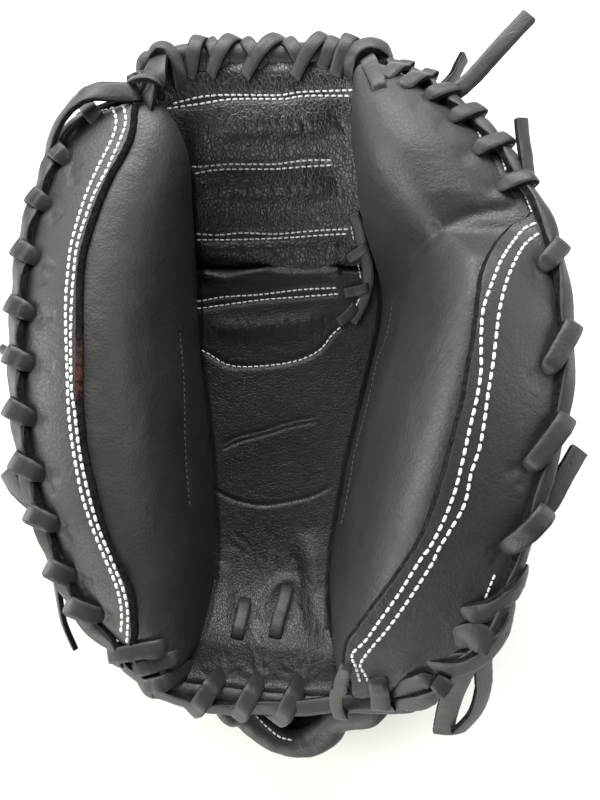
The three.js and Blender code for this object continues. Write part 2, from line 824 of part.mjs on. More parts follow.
// The heel and the web's top curve outwards in plan: every point moves by its own share of the bow.
function bowed(geometry) {
  const share = (bow, x) => {
    const away = Math.min(Math.abs(x - bow.centre) / bow.reach, 1);
    return (1 + Math.cos(Math.PI * Math.pow(away, bow.flatness))) / 2;
  };
  const position = geometry.getAttribute("position");
  for (let i = 0; i < position.count; i += 1) {
    const x = position.getX(i);
    const y = position.getY(i);
    const heel = THREE.MathUtils.smoothstep(-y, -HEEL_BOW.start, -HEEL_BOW.end);
    const web = THREE.MathUtils.smoothstep(y, WEB_BOW.start, WEB_BOW.end);
    const upwards = web * WEB_BOW.depth * share(WEB_BOW, x);
    const downwards = heel * HEEL_BOW.depth * share(HEEL_BOW, x);
    position.setY(i, y + upwards - downwards);
  }
  return geometry;
}

const leather = (color, roughness) =>
  new THREE.MeshStandardMaterial({ color, roughness, metalness: 0 });
const MATT_LEATHER = leather(0x232324, 0.62);
const GLOSSY_LEATHER = leather(0x161617, 0.42);
const LACE_LEATHER = leather(0x1d1d1e, 0.55);

const mitt = new THREE.Group();

function add(name, geometry, material) {
  const shape = bowed(geometry);
  shape.computeVertexNormals();
  const mesh = new THREE.Mesh(shape, material);
  mesh.name = name;
  mitt.add(mesh);
}

add("thumb_pad", padGeometry(THUMB_SIDE, THUMB_PAD_END), MATT_LEATHER);
add("finger_pad", padGeometry(FINGER_SIDE, WEB_END), MATT_LEATHER);
add("thumb_band", bandGeometry(THUMB_SIDE, THUMB_BAND_END), MATT_LEATHER);
add("finger_band", bandGeometry(FINGER_SIDE, FINGER_BAND_END), MATT_LEATHER);
add("palm_panel", floorGeometry(HEEL_END, WEB_FOLD - GAP / 2), GLOSSY_LEATHER);
add("web_panel", floorGeometry(WEB_FOLD + GAP / 2, WEB_END), GLOSSY_LEATHER);
add("thumb_back", backGeometry(THUMB_SIDE, THUMB_PAD_END), MATT_LEATHER);
add("finger_back", backGeometry(FINGER_SIDE, WEB_END), MATT_LEATHER);
add("wrist_strap", strapGeometry(), MATT_LEATHER);
add("top_roll", rollGeometry(TOP_ROLL), MATT_LEATHER);
add("heel_roll", rollGeometry(HEEL_ROLL), MATT_LEATHER);
add("thumb_rim_lace", rimLaceGeometry(THUMB_SIDE, THUMB_LACE), LACE_LEATHER);
add("finger_rim_lace", rimLaceGeometry(FINGER_SIDE, FINGER_LACE), LACE_LEATHER);
add("web_top_lace", windingGeometry(TOP_ROLL, TOP_WINDING), LACE_LEATHER);
add("heel_lace", windingGeometry(HEEL_ROLL, HEEL_WINDING), LACE_LEATHER);
add("bridge_lace", bridgeGeometry(), LACE_LEATHER);
add("web_edge_lace", webEdgeLaceGeometry(), LACE_LEATHER);
add("heel_loop_1", floorLace(HEEL_LOOP_1, new THREE.Vector3(1, 0, 0)), LACE_LEATHER);
add("heel_loop_2", floorLace(HEEL_LOOP_2, new THREE.Vector3(1, 0, 0)), LACE_LEATHER);

// The origin is the middle of the mitt's own box, at the height of what it lies on.
const box = new THREE.Box3().setFromObject(mitt);
const middle = box.getCenter(new THREE.Vector3());
mitt.position.set(-middle.x, -middle.y, -box.min.z);

export default mitt;
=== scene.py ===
"""Catcher's mitt of black leather for the left hand, lying on its back with the pocket up.

The drawing is in millimetres, as sections across the mitt. +X is the finger side, +Y runs from the
heel to the top of the web and +Z is up. Finished pieces are in metres, in the frame's own place.
"""

import math
import random

import bmesh
import bpy
from bpy.props import FloatProperty, FloatVectorProperty, PointerProperty
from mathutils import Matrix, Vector, noise
from mathutils.bvhtree import BVHTree
from mathutils.kdtree import KDTree


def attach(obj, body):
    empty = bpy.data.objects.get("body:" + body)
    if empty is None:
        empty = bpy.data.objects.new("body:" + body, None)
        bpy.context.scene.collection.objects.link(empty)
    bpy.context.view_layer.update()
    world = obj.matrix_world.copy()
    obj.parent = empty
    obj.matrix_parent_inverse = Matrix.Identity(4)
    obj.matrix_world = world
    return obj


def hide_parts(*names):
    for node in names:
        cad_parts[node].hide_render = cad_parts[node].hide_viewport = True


bl_info = {
    "name": "Catcher's Mitt",
    "version": (1, 0, 0),
    "blender": (4, 5, 0),
    "location": "3D View > Sidebar > Mitt",
    "description": "Builds a laced catcher's mitt around its packed solids",
    "category": "Add Mesh",
}

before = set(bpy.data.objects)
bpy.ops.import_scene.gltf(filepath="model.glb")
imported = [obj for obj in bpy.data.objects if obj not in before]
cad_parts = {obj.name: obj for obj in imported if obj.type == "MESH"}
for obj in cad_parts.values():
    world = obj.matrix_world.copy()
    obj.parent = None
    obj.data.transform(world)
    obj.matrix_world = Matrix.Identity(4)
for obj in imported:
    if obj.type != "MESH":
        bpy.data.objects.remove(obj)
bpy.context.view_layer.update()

MM = 0.001
UP = Vector((0, 0, 1))

# The drawing's own origin lies this far from the middle of the mitt's box.
DRAWING_SHIFT = Vector((12.17, -0.05, 0.0))

# The camera that took the view from above, in the drawing: where it stands and how it looks down.
IMAGE_SIZE = (600, 800)
FOCAL_PIXELS = 590
CAMERA_PLACE = Vector((0, -29.18, 371.65))
CAMERA_TILT = math.radians(6)

# Thicknesses and clearances of the drawing
GAP = 0.4
BACK_GAP = 0.7
BACK_LEATHER = 2.4
BAND_LEATHER = 1.8
BAND_GAP = 0.7
BAND_RISE = 0.7
BAND_TIP = 5
LOBE_LEATHER = 2.4
STRAP_LEATHER = 3
PALM_THICKNESS = 10
WEB_THICKNESS = 7
RIM_THICKNESS = 6
PAD_PLAY = 1.1

# Where the pieces end along the mitt
HEEL_END = -125
WEB_FOLD = 82
WEB_END = 150
THUMB_PAD_END = 146
THUMB_BAND_END = 138
FINGER_BAND_END = 70
LOBE_START = 63
STRAND_START = -119
STRAP_START = -151
STRAP_END = -102.6

# The rolls' rounded ends, and the thumb roll's inner side, which rounds off sooner
ROLL_ROUNDING = 9
INNER_ROUNDING = 30
INNER_START = HEEL_END - 40
INNER_OVERRUN = 1.5

# The floor panels: how far they reach under the pads, and how deep and how wide their edges dip
PANEL_OVERLAP = 1.2
PANEL_OVERRUN = 2.6
WEB_WIDENING = 15
EDGE_DIP = 1.6
EDGE_REACH = 4.5
TOP_DIP = 1.2
FOLD_DEPTH = 5.0
FOLD_REACH = 2.6

# The welts, and the turn in degrees at which a lace round them passes out of sight
TOP_ROLL = {"edge": WEB_END, "radius": 6.5, "from": -80, "to": 46, "drop": 4.5, "brow": 145}
HEEL_ROLL = {"edge": HEEL_END, "radius": 5, "from": -66, "to": 54, "drop": 3.5, "brow": 161}
# How the heel and the web are bowed outwards
HEEL_BOW = {"depth": 12.8, "start": -60, "end": HEEL_END, "centre": 0, "reach": 100, "flatness": 1}
WEB_BOW = {"depth": 14, "start": 90, "end": WEB_END, "centre": -15, "reach": 80, "flatness": 2}


def table(columns, rows):
    return [dict(zip(columns, row)) for row in rows]


FLOOR = table(("y", "height", "rise"), [
    (-170, 77, 6), (-125, 77, 6), (-112, 57, 5), (-96, 42.5, 4), (-78, 35.3, 3), (-56, 32.8, 2),
    (-30, 32, 2), (0, 32.8, 2), (30, 34.2, 2), (56, 38.3, 2), (78, 44.6, 2), (96, 52.8, 3),
    (114, 69, 4), (130, 89, 4), (144, 99.5, 4), (150, 101.5, 4), (160, 104, 4),
])
ROLL_COLUMNS = ("y", "foot", "crestU", "crestZ", "rimU", "rimZ", "bulge")
THUMB = table(ROLL_COLUMNS, [
    (-125, 56, 62, 92, 70.5, 88, 1), (-112, 50, 71, 98, 86.5, 95, 2),
    (-96, 47.5, 73.5, 105.5, 98, 102.5, 2), (-78, 46.5, 77.5, 112.5, 105.5, 108, 2),
    (-56, 48, 84.5, 119.5, 112.5, 112.3, 2), (-30, 50.2, 90, 123.3, 118.5, 116.2, 2),
    (0, 53.5, 92.8, 125, 123, 118.5, 2), (30, 57.2, 92.8, 124.4, 125.3, 118, 2),
    (56, 58.4, 91.3, 122.6, 125.6, 116.3, 3), (78, 58.7, 88.6, 120.4, 124.5, 113.8, 5),
    (96, 58.5, 84.5, 118, 122.5, 111.2, 8), (114, 58, 79, 114.7, 119, 108.8, 10),
    (130, 60.5, 77.5, 112, 110, 106.6, 9), (144, 65, 73.5, 107, 83, 103.5, 4),
    (150, 67, 71, 104, 76, 102, 2),
])
FINGER = table(ROLL_COLUMNS, [
    (-125, 21, 29, 98, 62.5, 98.5, 1), (-112, 16.5, 20.5, 107, 71, 115, 1),
    (-96, 15.8, 24.5, 123.5, 78.3, 126.5, 1), (-78, 17.5, 35, 138, 83.5, 135, 1),
    (-56, 22, 44.7, 149, 89.3, 144, 1), (-30, 27, 52, 156.6, 94.3, 149.7, 1),
    (0, 34.5, 58.7, 160.7, 98.7, 152.2, 1), (30, 42, 64.3, 159.6, 100.5, 150.8, 1),
    (48, 46, 66, 155, 100, 148, 2), (58, 46.8, 64, 147, 99.2, 146.2, 4),
    (65, 46.6, 60, 142, 98.3, 144.7, 6), (72, 45.3, 57, 143, 97, 143, 14),
    (80, 43, 54, 145, 95.6, 140.8, 18), (96, 38, 48, 145, 90.8, 136.5, 21),
    (114, 34.5, 43, 141, 82.5, 130.5, 21), (130, 31, 39.5, 132.5, 71.5, 124, 15),
    (144, 28.5, 37, 121, 55, 115.5, 9), (150, 28, 36, 115, 43, 112, 8),
])
BACK = table(("y", "base", "keep", "thumbFlat", "thumbSeam", "fingerFlat", "fingerSeam"), [
    (-125, 0, 0.5, 42, 10, 36, -10), (-103, 0, 0.62, 44, 10, 40, -10),
    (-101.6, 0, 0.64, 44, 10, 40, -10), (-100, 0, 1, 44, 10, 40, -10),
    (38, 0, 1, 46, 10, 42, -10), (46, 0.6, 1, 47, 10, 43, -10), (56, 3.5, 1, 50, 10, 45, -10),
    (66, 9, 1, 54, 10, 46, -10), (78, 21, 1, 57, 10, 46, -10), (88, 33.5, 1, 59, 10, 44, -10),
    (96, 42.3, 1, 60, 10, 42, -10), (104, 48.6, 1, 60.5, 16, 40.5, -4),
    (116, 60.5, 1, 61, 42, 39, 20), (130, 78.5, 1, 64, 54.5, 35, 25),
    (144, 89, 1, 68, 59, 32.5, 22.5), (150, 91, 1, 70, 61, 32, 22),
])
STRAP = table(("y", "base", "thumbU", "thumbZ", "fingerU", "fingerZ"), [
    (-170, 35, 8, 40, 12, 40), (-166, 28, 16, 42, 20, 43), (-158, 16, 28, 47, 29, 48),
    (-148, 7, 39, 52, 40, 53), (-136, 1.5, 52, 55, 52, 57), (-126, 0, 62, 50, 57, 52),
])


# Curves and sections


def clamp(value, low, high):
    return max(low, min(high, value))


def lerp(a, b, t):
    return a + (b - a) * t


def smoothstep(x, low, high):
    t = clamp((x - low) / (high - low), 0, 1)
    return t * t * (3 - 2 * t)


def column(rows, name):
    """A smooth curve through a table's column that never swings past its values."""
    ys = [row["y"] for row in rows]
    vs = [row[name] for row in rows]
    rises = [(vs[i + 1] - vs[i]) / (ys[i + 1] - ys[i]) for i in range(len(ys) - 1)]
    slopes = [0.0] * len(ys)
    for i in range(1, len(ys) - 1):
        if rises[i - 1] * rises[i] > 0:
            limit = 3 * min(abs(rises[i - 1]), abs(rises[i]))
            mean = (vs[i + 1] - vs[i - 1]) / (ys[i + 1] - ys[i - 1])
            slopes[i] = clamp(mean, -limit, limit)

    def at(y):
        y = clamp(y, ys[0], ys[-1])
        i = 0
        while i < len(ys) - 2 and ys[i + 1] < y:
            i += 1
        span = ys[i + 1] - ys[i]
        t = (y - ys[i]) / span
        return (
            (1 + 2 * t) * (1 - t) ** 2 * vs[i]
            + t * (1 - t) ** 2 * span * slopes[i]
            + t * t * (3 - 2 * t) * vs[i + 1]
            + t * t * (t - 1) * span * slopes[i + 1]
        )

    return at


def columns_of(rows):
    return {name: column(rows, name) for name in rows[0] if name != "y"}


floor_at = columns_of(FLOOR)
back_at = columns_of(BACK)
strap_at = columns_of(STRAP)


def side_of(sign, rows, end, cut, flat, seam):
    """The curves of one side, its roll's end and how far its band's cut edge slants out."""
    side = {"sign": sign, "end": end, "cut": cut, **columns_of(rows)}
    side["flat"] = back_at[flat]
    side["seam"] = lambda y: back_at[seam](y) + GAP / 2
    return side


THUMB_SIDE = side_of(-1, THUMB, THUMB_PAD_END - 6, 2.3, "thumbFlat", "thumbSeam")
FINGER_SIDE = side_of(1, FINGER, WEB_END - 3, 0.9, "fingerFlat", "fingerSeam")


def slab_thickness(y):
    return lerp(PALM_THICKNESS, WEB_THICKNESS, smoothstep(y, 66, 96))


def slant(side, y):
    """How much a wall that turns across the mitt is thickened in its section."""
    return math.hypot(1, (side["rimU"](y + 2) - side["rimU"](y - 2)) / 4)


def overhang(side, y):
    """How far the back's leather stands out past the rim in a section."""
    return (BACK_GAP + BACK_LEATHER) * slant(side, y)


def bezier(a, b, c, d, steps):
    points = []
    for i in range(steps + 1):
        t = i / steps
        s = 1 - t
        weights = (s ** 3, 3 * s * s * t, 3 * s * t * t, t ** 3)
        points.append(tuple(sum(w * p[k] for w, p in zip(weights, (a, b, c, d))) for k in (0, 1)))
    return points


def top_height(side, y, u):
    """Height of a padded roll between its rim and its crest."""
    across = (side["rimU"](y) - u) / (side["rimU"](y) - side["crestU"](y))
    fall = 1 - clamp(across, 0, 1)
    return side["rimZ"](y) + (side["crestZ"](y) - side["rimZ"](y)) * (1 - fall * fall)


def roll_front(side, y, top_steps, wall_steps):
    """A roll's section from its rim over its crest and down its wall to its foot."""
    rim, crest_u = side["rimU"](y), side["crestU"](y)
    top = []
    for i in range(top_steps):
        u = lerp(rim, crest_u, i / top_steps)
        top.append((u, top_height(side, y, u)))
    crest = (crest_u, side["crestZ"](y))
    foot = (side["foot"](y), floor_at["height"](y) + floor_at["rise"](y) + GAP)
    width, height, bulge = crest[0] - foot[0], crest[1] - foot[1], side["bulge"](y)
    shoulder = (crest[0] - 0.75 * width - bulge, crest[1] - 0.02 * height)
    shin = (foot[0] - 0.6 * bulge, foot[1] + 0.42 * height)
    return top + bezier(crest, shoulder, shin, foot, wall_steps)


def back_outline(side, y, steps=10):
    """The back's section from the rim, down and in to the seam beneath."""
    reach = side["rimU"](y) + overhang(side, y)
    top = side["rimZ"](y) + BAND_LEATHER
    base = back_at["base"](y)
    flat = side["flat"](y)
    belly = (reach + 0.05 * (top - base), base + 0.42 * (top - base))
    corner = (flat + 0.58 * (reach - flat), base)
    return bezier((reach, top), belly, corner, (flat, base), steps) + [(side["seam"](y), base)]


def evenly(line, fraction, count):
    """The first part of a line of points, as evenly spaced points."""
    lengths = [0]
    for a, b in zip(line, line[1:]):
        lengths.append(lengths[-1] + math.dist(a, b))
    even, k = [], 0
    for i in range(count):
        length = lengths[-1] * fraction * i / (count - 1)
        while k < len(line) - 2 and lengths[k + 1] < length:
            k += 1
        t = (length - lengths[k]) / (lengths[k + 1] - lengths[k])
        even.append(tuple(lerp(p, q, t) for p, q in zip(line[k], line[k + 1])))
    return even


def offset(line, distance):
    """The line beside a line, at a distance to its left."""
    moved = []
    for i, p in enumerate(line):
        a, b = line[max(i - 1, 0)], line[min(i + 1, len(line) - 1)]
        length = math.dist(a, b) or 1
        along = ((b[0] - a[0]) / length, (b[1] - a[1]) / length)
        moved.append((p[0] - along[1] * distance, p[1] + along[0] * distance))
    return moved


def reach_at(line, z):
    """How far out a line that runs downwards lies at a height."""
    i = 0
    while i < len(line) - 2 and line[i + 1][1] > z:
        i += 1
    t = (line[i][1] - z) / (line[i][1] - line[i + 1][1])
    return lerp(line[i][0], line[i + 1][0], clamp(t, 0, 1))


def roll_back(side, y, steps):
    """The rest of a roll's section: under its foot and up inside the back to its rim."""
    sole = floor_at["height"](y) + floor_at["rise"](y) - slab_thickness(y)
    rim = (side["rimU"](y), side["rimZ"](y) - RIM_THICKNESS)
    inwards = overhang(side, y) + PAD_PLAY
    inside = offset(evenly(back_outline(side, y), 1, 9), -inwards)
    join = sole + min(8, 0.4 * (rim[1] - sole))
    back = []
    for i in range(steps):
        z = lerp(join, rim[1], i / steps)
        back.append((min(reach_at(inside, z), rim[0]), z))
    foot = side["foot"](y)
    return [(foot, sole), (foot + 0.16 * (rim[0] - foot), sole), *back, rim]


def floor_top(x, y):
    left, right = -THUMB_SIDE["foot"](y), FINGER_SIDE["foot"](y)
    across = (2 * x - left - right) / (right - left)
    return floor_at["height"](y) + floor_at["rise"](y) * across * across


def rim_corner(side, y, outwards=0.0, upwards=0.0):
    """Outer top corner of the rim, where the band meets the back."""
    reach = side["rimU"](y) + overhang(side, y)
    top = side["rimZ"](y) + BAND_GAP + BAND_LEATHER
    return Vector((side["sign"] * (reach + outwards * slant(side, y)), y, top + upwards))


def roll_centre(roll, x):
    outwards = 1 if roll["edge"] > 0 else -1
    y = roll["edge"] + outwards * (GAP + roll["radius"])
    return Vector((x, y, floor_top(x, roll["edge"]) - roll["drop"]))


def bow_at(x, y):
    """How far the heel and the web are bowed out along the mitt at a place of the drawing."""
    def share(bow):
        away = min(abs(x - bow["centre"]) / bow["reach"], 1)
        return (1 + math.cos(math.pi * away ** bow["flatness"])) / 2

    web = smoothstep(y, WEB_BOW["start"], WEB_BOW["end"]) * WEB_BOW["depth"] * share(WEB_BOW)
    heel = smoothstep(-y, -HEEL_BOW["start"], -HEEL_BOW["end"])
    return web - heel * HEEL_BOW["depth"] * share(HEEL_BOW)


def placed(p):
    """A point of the drawing in the frame, in metres."""
    return (Vector((p[0], p[1] + bow_at(p[0], p[1]), p[2])) + DRAWING_SHIFT) * MM


# The camera's view

# What a rim is like on average, to start from where its pixels are placed
TYPICAL_SLANT = 1.1
TYPICAL_HEIGHT = 115

EYE = (CAMERA_PLACE + DRAWING_SHIFT) * MM
LOOK = Vector((0, math.sin(CAMERA_TILT), -math.cos(CAMERA_TILT)))
HEAD = Vector((0, math.cos(CAMERA_TILT), math.sin(CAMERA_TILT)))


def pixel_ray(x, y):
    """The direction from the camera through a pixel."""
    across = (x - IMAGE_SIZE[0] / 2) / FOCAL_PIXELS
    down = (y - IMAGE_SIZE[1] / 2) / FOCAL_PIXELS
    return (LOOK + Vector((1, 0, 0)) * across - HEAD * down).normalized()


def pixel_of(p):
    """The pixel at which the camera sees a point."""
    away = p - EYE
    depth = away.dot(LOOK)
    x = IMAGE_SIZE[0] / 2 + FOCAL_PIXELS * away.x / depth
    return Vector((x, IMAGE_SIZE[1] / 2 - FOCAL_PIXELS * away.dot(HEAD) / depth))


def at_height(pixel, z):
    """The point that the camera sees at a pixel, at a height of the drawing in millimetres."""
    ray = pixel_ray(*pixel)
    return EYE + ray * ((z * MM - EYE.z) / ray.z)


def drawn_at(side, pixel, height_at):
    """Where on a side's sections a pixel falls: y and u, for a height that depends on them."""
    z = TYPICAL_HEIGHT
    for _ in range(14):
        p = at_height(pixel, z) / MM - DRAWING_SHIFT
        y = p.y
        for _ in range(4):
            y = p.y - bow_at(p.x, y)
        u = side["sign"] * p.x
        z = lerp(z, height_at(y, u), 0.7)
    return y, u


def seen_column(side, pixels, height_at):
    """A smooth curve of u along the mitt through pixels on a side."""
    rows = [dict(zip(("y", "u"), drawn_at(side, p, height_at))) for p in pixels]
    rows.sort(key=lambda row: row["y"])
    kept = rows[:1]
    for row in rows[1:]:
        if row["y"] - kept[-1]["y"] > 1.5:
            kept.append(row)
    return column(kept, "u")


# Where the rims' corners and the bands' raw edges are seen.
THUMB_RIM_SEEN = [
    (90, 105), (74, 117), (58, 145), (46, 180), (31, 223), (22, 273), (18, 330), (18, 390),
    (23, 437), (33, 493), (49, 540), (66, 583), (84, 613), (101, 633), (119, 650),
]
FINGER_RIM_SEEN = [
    (382, 62), (397, 66), (412, 75), (430, 84), (457, 103), (485, 126), (509, 152), (526, 180),
    (540, 204), (551, 235), (563, 285), (567, 337), (567, 377), (562, 413), (550, 463),
    (538, 503), (523, 547), (508, 590), (490, 628), (463, 660), (425, 683),
]
THUMB_EDGE_SEEN = [
    (134, 122), (130, 140), (114, 170), (103, 193), (93, 220), (85, 247), (81, 273), (80, 300),
    (80, 327), (80, 360), (80, 400), (82, 423), (86, 457), (94, 490), (102, 523), (114, 557),
    (127, 580), (134, 607), (135, 633), (133, 650),
]
FINGER_EDGE_SEEN = [
    (541, 214), (520, 219), (503, 233), (490, 251), (481, 273), (477, 303), (472, 343),
    (467, 367), (462, 400), (452, 437), (443, 473), (430, 513), (417, 543), (397, 573),
    (377, 600), (358, 625), (345, 645), (343, 662), (350, 685),
]


def fit_side(side, rim_seen, edge_seen):
    """Draws a side's rim and its band's edge in to where they are seen."""
    def rim_height(y, u):
        return side["rimZ"](y) + BAND_GAP + BAND_LEATHER

    def band_height(y, u):
        return top_height(side, y, u) + BAND_LEATHER

    outer = seen_column(side, rim_seen, rim_height)
    drawn = side["rimU"]
    back = (BACK_GAP + BACK_LEATHER) * TYPICAL_SLANT
    side["rimU"] = lambda y: min(outer(y) - back, drawn(y))
    edge = seen_column(side, edge_seen, band_height)
    side["band"] = lambda y: min(edge(y) + 0.6 * side["cut"], side["rimU"](y) - 4)


fit_side(THUMB_SIDE, THUMB_RIM_SEEN, THUMB_EDGE_SEEN)
fit_side(FINGER_SIDE, FINGER_RIM_SEEN, FINGER_EDGE_SEEN)


# Meshes


def new_piece(name, points, faces, kinds=None):
    """A mesh object at the origin. Each face may have its own kind of material by number."""
    mesh = bpy.data.meshes.new(name)
    mesh.from_pydata([tuple(p) for p in points], [], faces)
    mesh.update()
    if kinds:
        mesh.polygons.foreach_set("material_index", kinds)
    mesh.shade_smooth()
    piece = bpy.data.objects.new(name, mesh)
    bpy.context.scene.collection.objects.link(piece)
    return piece


def grid_faces(rows, count, closed):
    """Faces between rows of points. The rows are closed to rings or left open."""
    faces = []
    for r in range(rows - 1):
        for i in range(count if closed else count - 1):
            a, b = r * count + i, r * count + (i + 1) % count
            faces.append((a, b, b + count, a + count))
    return faces


def face_outwards(piece):
    """Turns a closed piece's faces so that they point out of it."""
    shape = bmesh.new()
    shape.from_mesh(piece.data)
    bmesh.ops.recalc_face_normals(shape, faces=shape.faces)
    if shape.calc_volume(signed=True) < 0:
        bmesh.ops.reverse_faces(shape, faces=shape.faces)
    shape.to_mesh(piece.data)
    shape.free()
    piece.data.update()
    return piece


def loft(name, rings, raw=(), plain_ends=False):
    """A closed piece through rings of equally many points, with some columns of raw edge."""
    count = len(rings[0])
    faces = grid_faces(len(rings), count, True)
    kinds = [1 if i in raw else 0 for i in range(count)] * (len(rings) - 1)
    last = (len(rings) - 1) * count
    if plain_ends:
        faces.append(tuple(range(count)))
        faces.append(tuple(last + count - 1 - i for i in range(count)))
    for low in range(0 if plain_ends else (count - 1) // 2):
        high = count - 1 - low
        if high - low > 2:
            faces.append((low, low + 1, high - 1, high))
            faces.append((last + high, last + high - 1, last + low + 1, last + low))
        elif high - low == 2:
            faces.append((low, low + 1, high))
            faces.append((last + high, last + low + 1, last + low))
    kinds += [1 if raw else 0] * (len(faces) - len(kinds))
    return face_outwards(new_piece(name, [p for ring in rings for p in ring], faces, kinds))


class Strips:
    """A mesh that closed strips with flat ends are added to."""

    def __init__(self):
        self.points, self.faces, self.kinds = [], [], []

    def close(self, rows, count, raw=(), raw_ends=False):
        """Faces over the last rows of points added, with some columns of raw edge."""
        base, last = len(self.points) - rows * count, len(self.points) - count
        self.faces += [tuple(base + i for i in f) for f in grid_faces(rows, count, True)]
        self.faces.append(tuple(base + i for i in range(count)))
        self.faces.append(tuple(last + count - 1 - i for i in range(count)))
        self.kinds += [1 if i in raw else 0 for i in range(count)] * (rows - 1)
        self.kinds += [1 if raw_ends else 0] * 2

    def piece(self, name):
        return face_outwards(new_piece(name, self.points, self.faces, self.kinds))


def sheet(name, rows):
    """An open skin through rows of equally many points."""
    points = [p for row in rows for p in row]
    return new_piece(name, points, grid_faces(len(rows), len(rows[0]), False))


def apply_modifier(piece, kind, **settings):
    modifier = piece.modifiers.new(kind.title(), kind)
    for key, value in settings.items():
        setattr(modifier, key, value)
    with bpy.context.temp_override(object=piece, active_object=piece, selected_objects=[piece]):
        bpy.ops.object.modifier_apply(modifier=modifier.name)


def thicken(piece, thickness, edge):
    """Gives a skin its leather's thickness, with softened raw edges of their own material, a suede
    darkened with painted shade.
    """
    for name in ("matt_black_leather", "raw_edge_suede"):
        piece.data.materials.append(material(name))
    apply_modifier(piece, "SOLIDIFY", thickness=thickness * MM, offset=-1,
                   use_even_offset=False, material_offset_rim=1)
    apply_modifier(piece, "BEVEL", width=edge * MM, segments=2, limit_method="ANGLE",
                   angle_limit=math.radians(50), harden_normals=False)
    return face_outwards(piece)


def stations(start, end, step):
    """Evenly spaced values from start to end, both included."""
    count = max(2, round(abs(end - start) / step) + 1)
    return [lerp(start, end, i / (count - 1)) for i in range(count)]


def tree_of(*pieces):
    """One search tree of all the faces of some pieces."""
    points, faces = [], []
    for piece in pieces:
        base = len(points)
        points += [v.co.copy() for v in piece.data.vertices]
        faces += [[base + i for i in p.vertices] for p in piece.data.polygons]
    return BVHTree.FromPolygons(points, faces)


# How far round a pixel a surface is looked for
SEARCH_PIXELS = 40


def beside(pixel, reach, turn):
    return (pixel[0] + reach * math.cos(turn), pixel[1] + reach * math.sin(turn))


def seen(tree, pixel):
    """Where the camera sees a surface at a pixel or next to it, with the normal there."""
    ray = pixel_ray(*pixel)
    place, normal, _, _ = tree.ray_cast(EYE, ray)
    reach = 0
    while place is None and reach < SEARCH_PIXELS:
        reach += 1
        for turn in range(16):
            near = beside(pixel, reach, turn * math.pi / 8)
            place, normal, _, _ = tree.ray_cast(EYE, pixel_ray(*near))
            if place is not None:
                break
    if place is None:
        raise RuntimeError(f"nothing is seen near pixel {pixel}")
    return place, -normal if normal.dot(ray) > 0 else normal


def seen_broadly(tree, pixel, spread=4):
    """The same, with the normal of the surface round the pixel."""
    place, normal = seen(tree, pixel)
    total = normal.copy()
    for k in range(8):
        other, n = seen(tree, beside(pixel, spread, k * math.pi / 4))
        if (other - place).length < 0.02:
            total += n
    return place, total.normalized()


def taut(hits, rounds=40):
    """Draws the places of a lace tight, so that it bridges the hollows beneath it."""
    places = [place.copy() for place, _ in hits]
    normals = [n.copy() for _, n in hits]
    for _ in range(rounds):
        for i in range(1, len(places) - 1):
            middle = (places[i - 1] + places[i + 1]) / 2
            rise = (middle - places[i]).dot(normals[i])
            if rise > 0:
                places[i] += normals[i] * rise
            normals[i] = (normals[i - 1] + normals[i] * 2 + normals[i + 1]).normalized()
    return list(zip(places, normals))


def through(points, spacing):
    """A smooth line through points (vectors of any size), at about even spacing."""
    line = []
    for i in range(len(points) - 1):
        a = points[max(i - 1, 0)]
        b, c = points[i], points[i + 1]
        d = points[min(i + 2, len(points) - 1)]
        steps = max(1, round((c - b).length / spacing))
        for k in range(steps):
            t = k / steps
            line.append(0.5 * (2 * b + (c - a) * t + (2 * a - 5 * b + 4 * c - d) * t * t
                               + (3 * b - a - 3 * c + d) * t ** 3))
    line.append(points[-1].copy())
    return line


def hits_along(tree, pixels, step=1.5):
    """The places and normals that the camera sees along a smooth line of pixels."""
    return [seen(tree, p) for p in through([Vector(p) for p in pixels], step)]


def seen_line(tree, pixels):
    return [place for place, _ in hits_along(tree, pixels)]


def soft_noise(p, size, seed=0.0):
    return noise.noise(p / (size * MM) + Vector((seed, seed * 1.7, seed * 2.3)))


def raise_surface(piece, height_at):
    """Moves every vertex along its normal by a height in millimetres."""
    mesh = piece.data
    normals = [n.vector.copy() for n in mesh.vertex_normals]
    for vertex, normal in zip(mesh.vertices, normals):
        vertex.co += normal * (height_at(vertex.co, normal) * MM)
    mesh.update()


class Relief:
    """Creases, dimples and ridges that are pressed into pieces along lines.

    Lines under a width are searched in a tree of their own, which needs a shorter reach.
    """

    FINE = 2.2

    def __init__(self):
        self.groups = {True: [], False: []}
        self.widths = []

    def line(self, places, depth, width, faded=0.25):
        """A crease of a depth and a width in millimetres, or a ridge if its depth is negative."""
        kind = len(self.widths)
        self.widths.append(width * MM)
        last = max(len(places) - 1, 1)
        for i, place in enumerate(places):
            ends = min(i, last - i) / last
            strength = smoothstep(ends, -0.02, faded) if faded and len(places) > 1 else 1
            self.groups[width < self.FINE].append((place, kind, depth * strength))

    def press(self, piece):
        """Moves a piece's vertices by every line that is near, each at its nearest place."""
        trees = []
        for fine, items in self.groups.items():
            if items:
                tree = KDTree(len(items))
                for i, item in enumerate(items):
                    tree.insert(item[0], i)
                tree.balance()
                trees.append((tree, items, 2.3 * max(self.widths[k] for _, k, _ in items)))

        def height(p, n):
            total = 0.0
            for tree, items, reach in trees:
                nearest = {}
                for _, i, away in tree.find_range(p, reach):
                    _, kind, depth = items[i]
                    if kind not in nearest or away < nearest[kind][0]:
                        nearest[kind] = (away, depth)
                for kind, (away, depth) in nearest.items():
                    total -= depth * math.exp(-(away / self.widths[kind]) ** 2)
            return total

        raise_surface(piece, height)


def finish_piece(piece, materials, nodes=()):
    """Gives a piece its materials and its body, and hides the nodes that it replaces."""
    if not piece.data.materials:
        for each in materials:
            piece.data.materials.append(each)
    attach(piece, "root")
    if nodes:
        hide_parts(*nodes)
    return piece


# Materials


EVEN = (1, 1, 1)


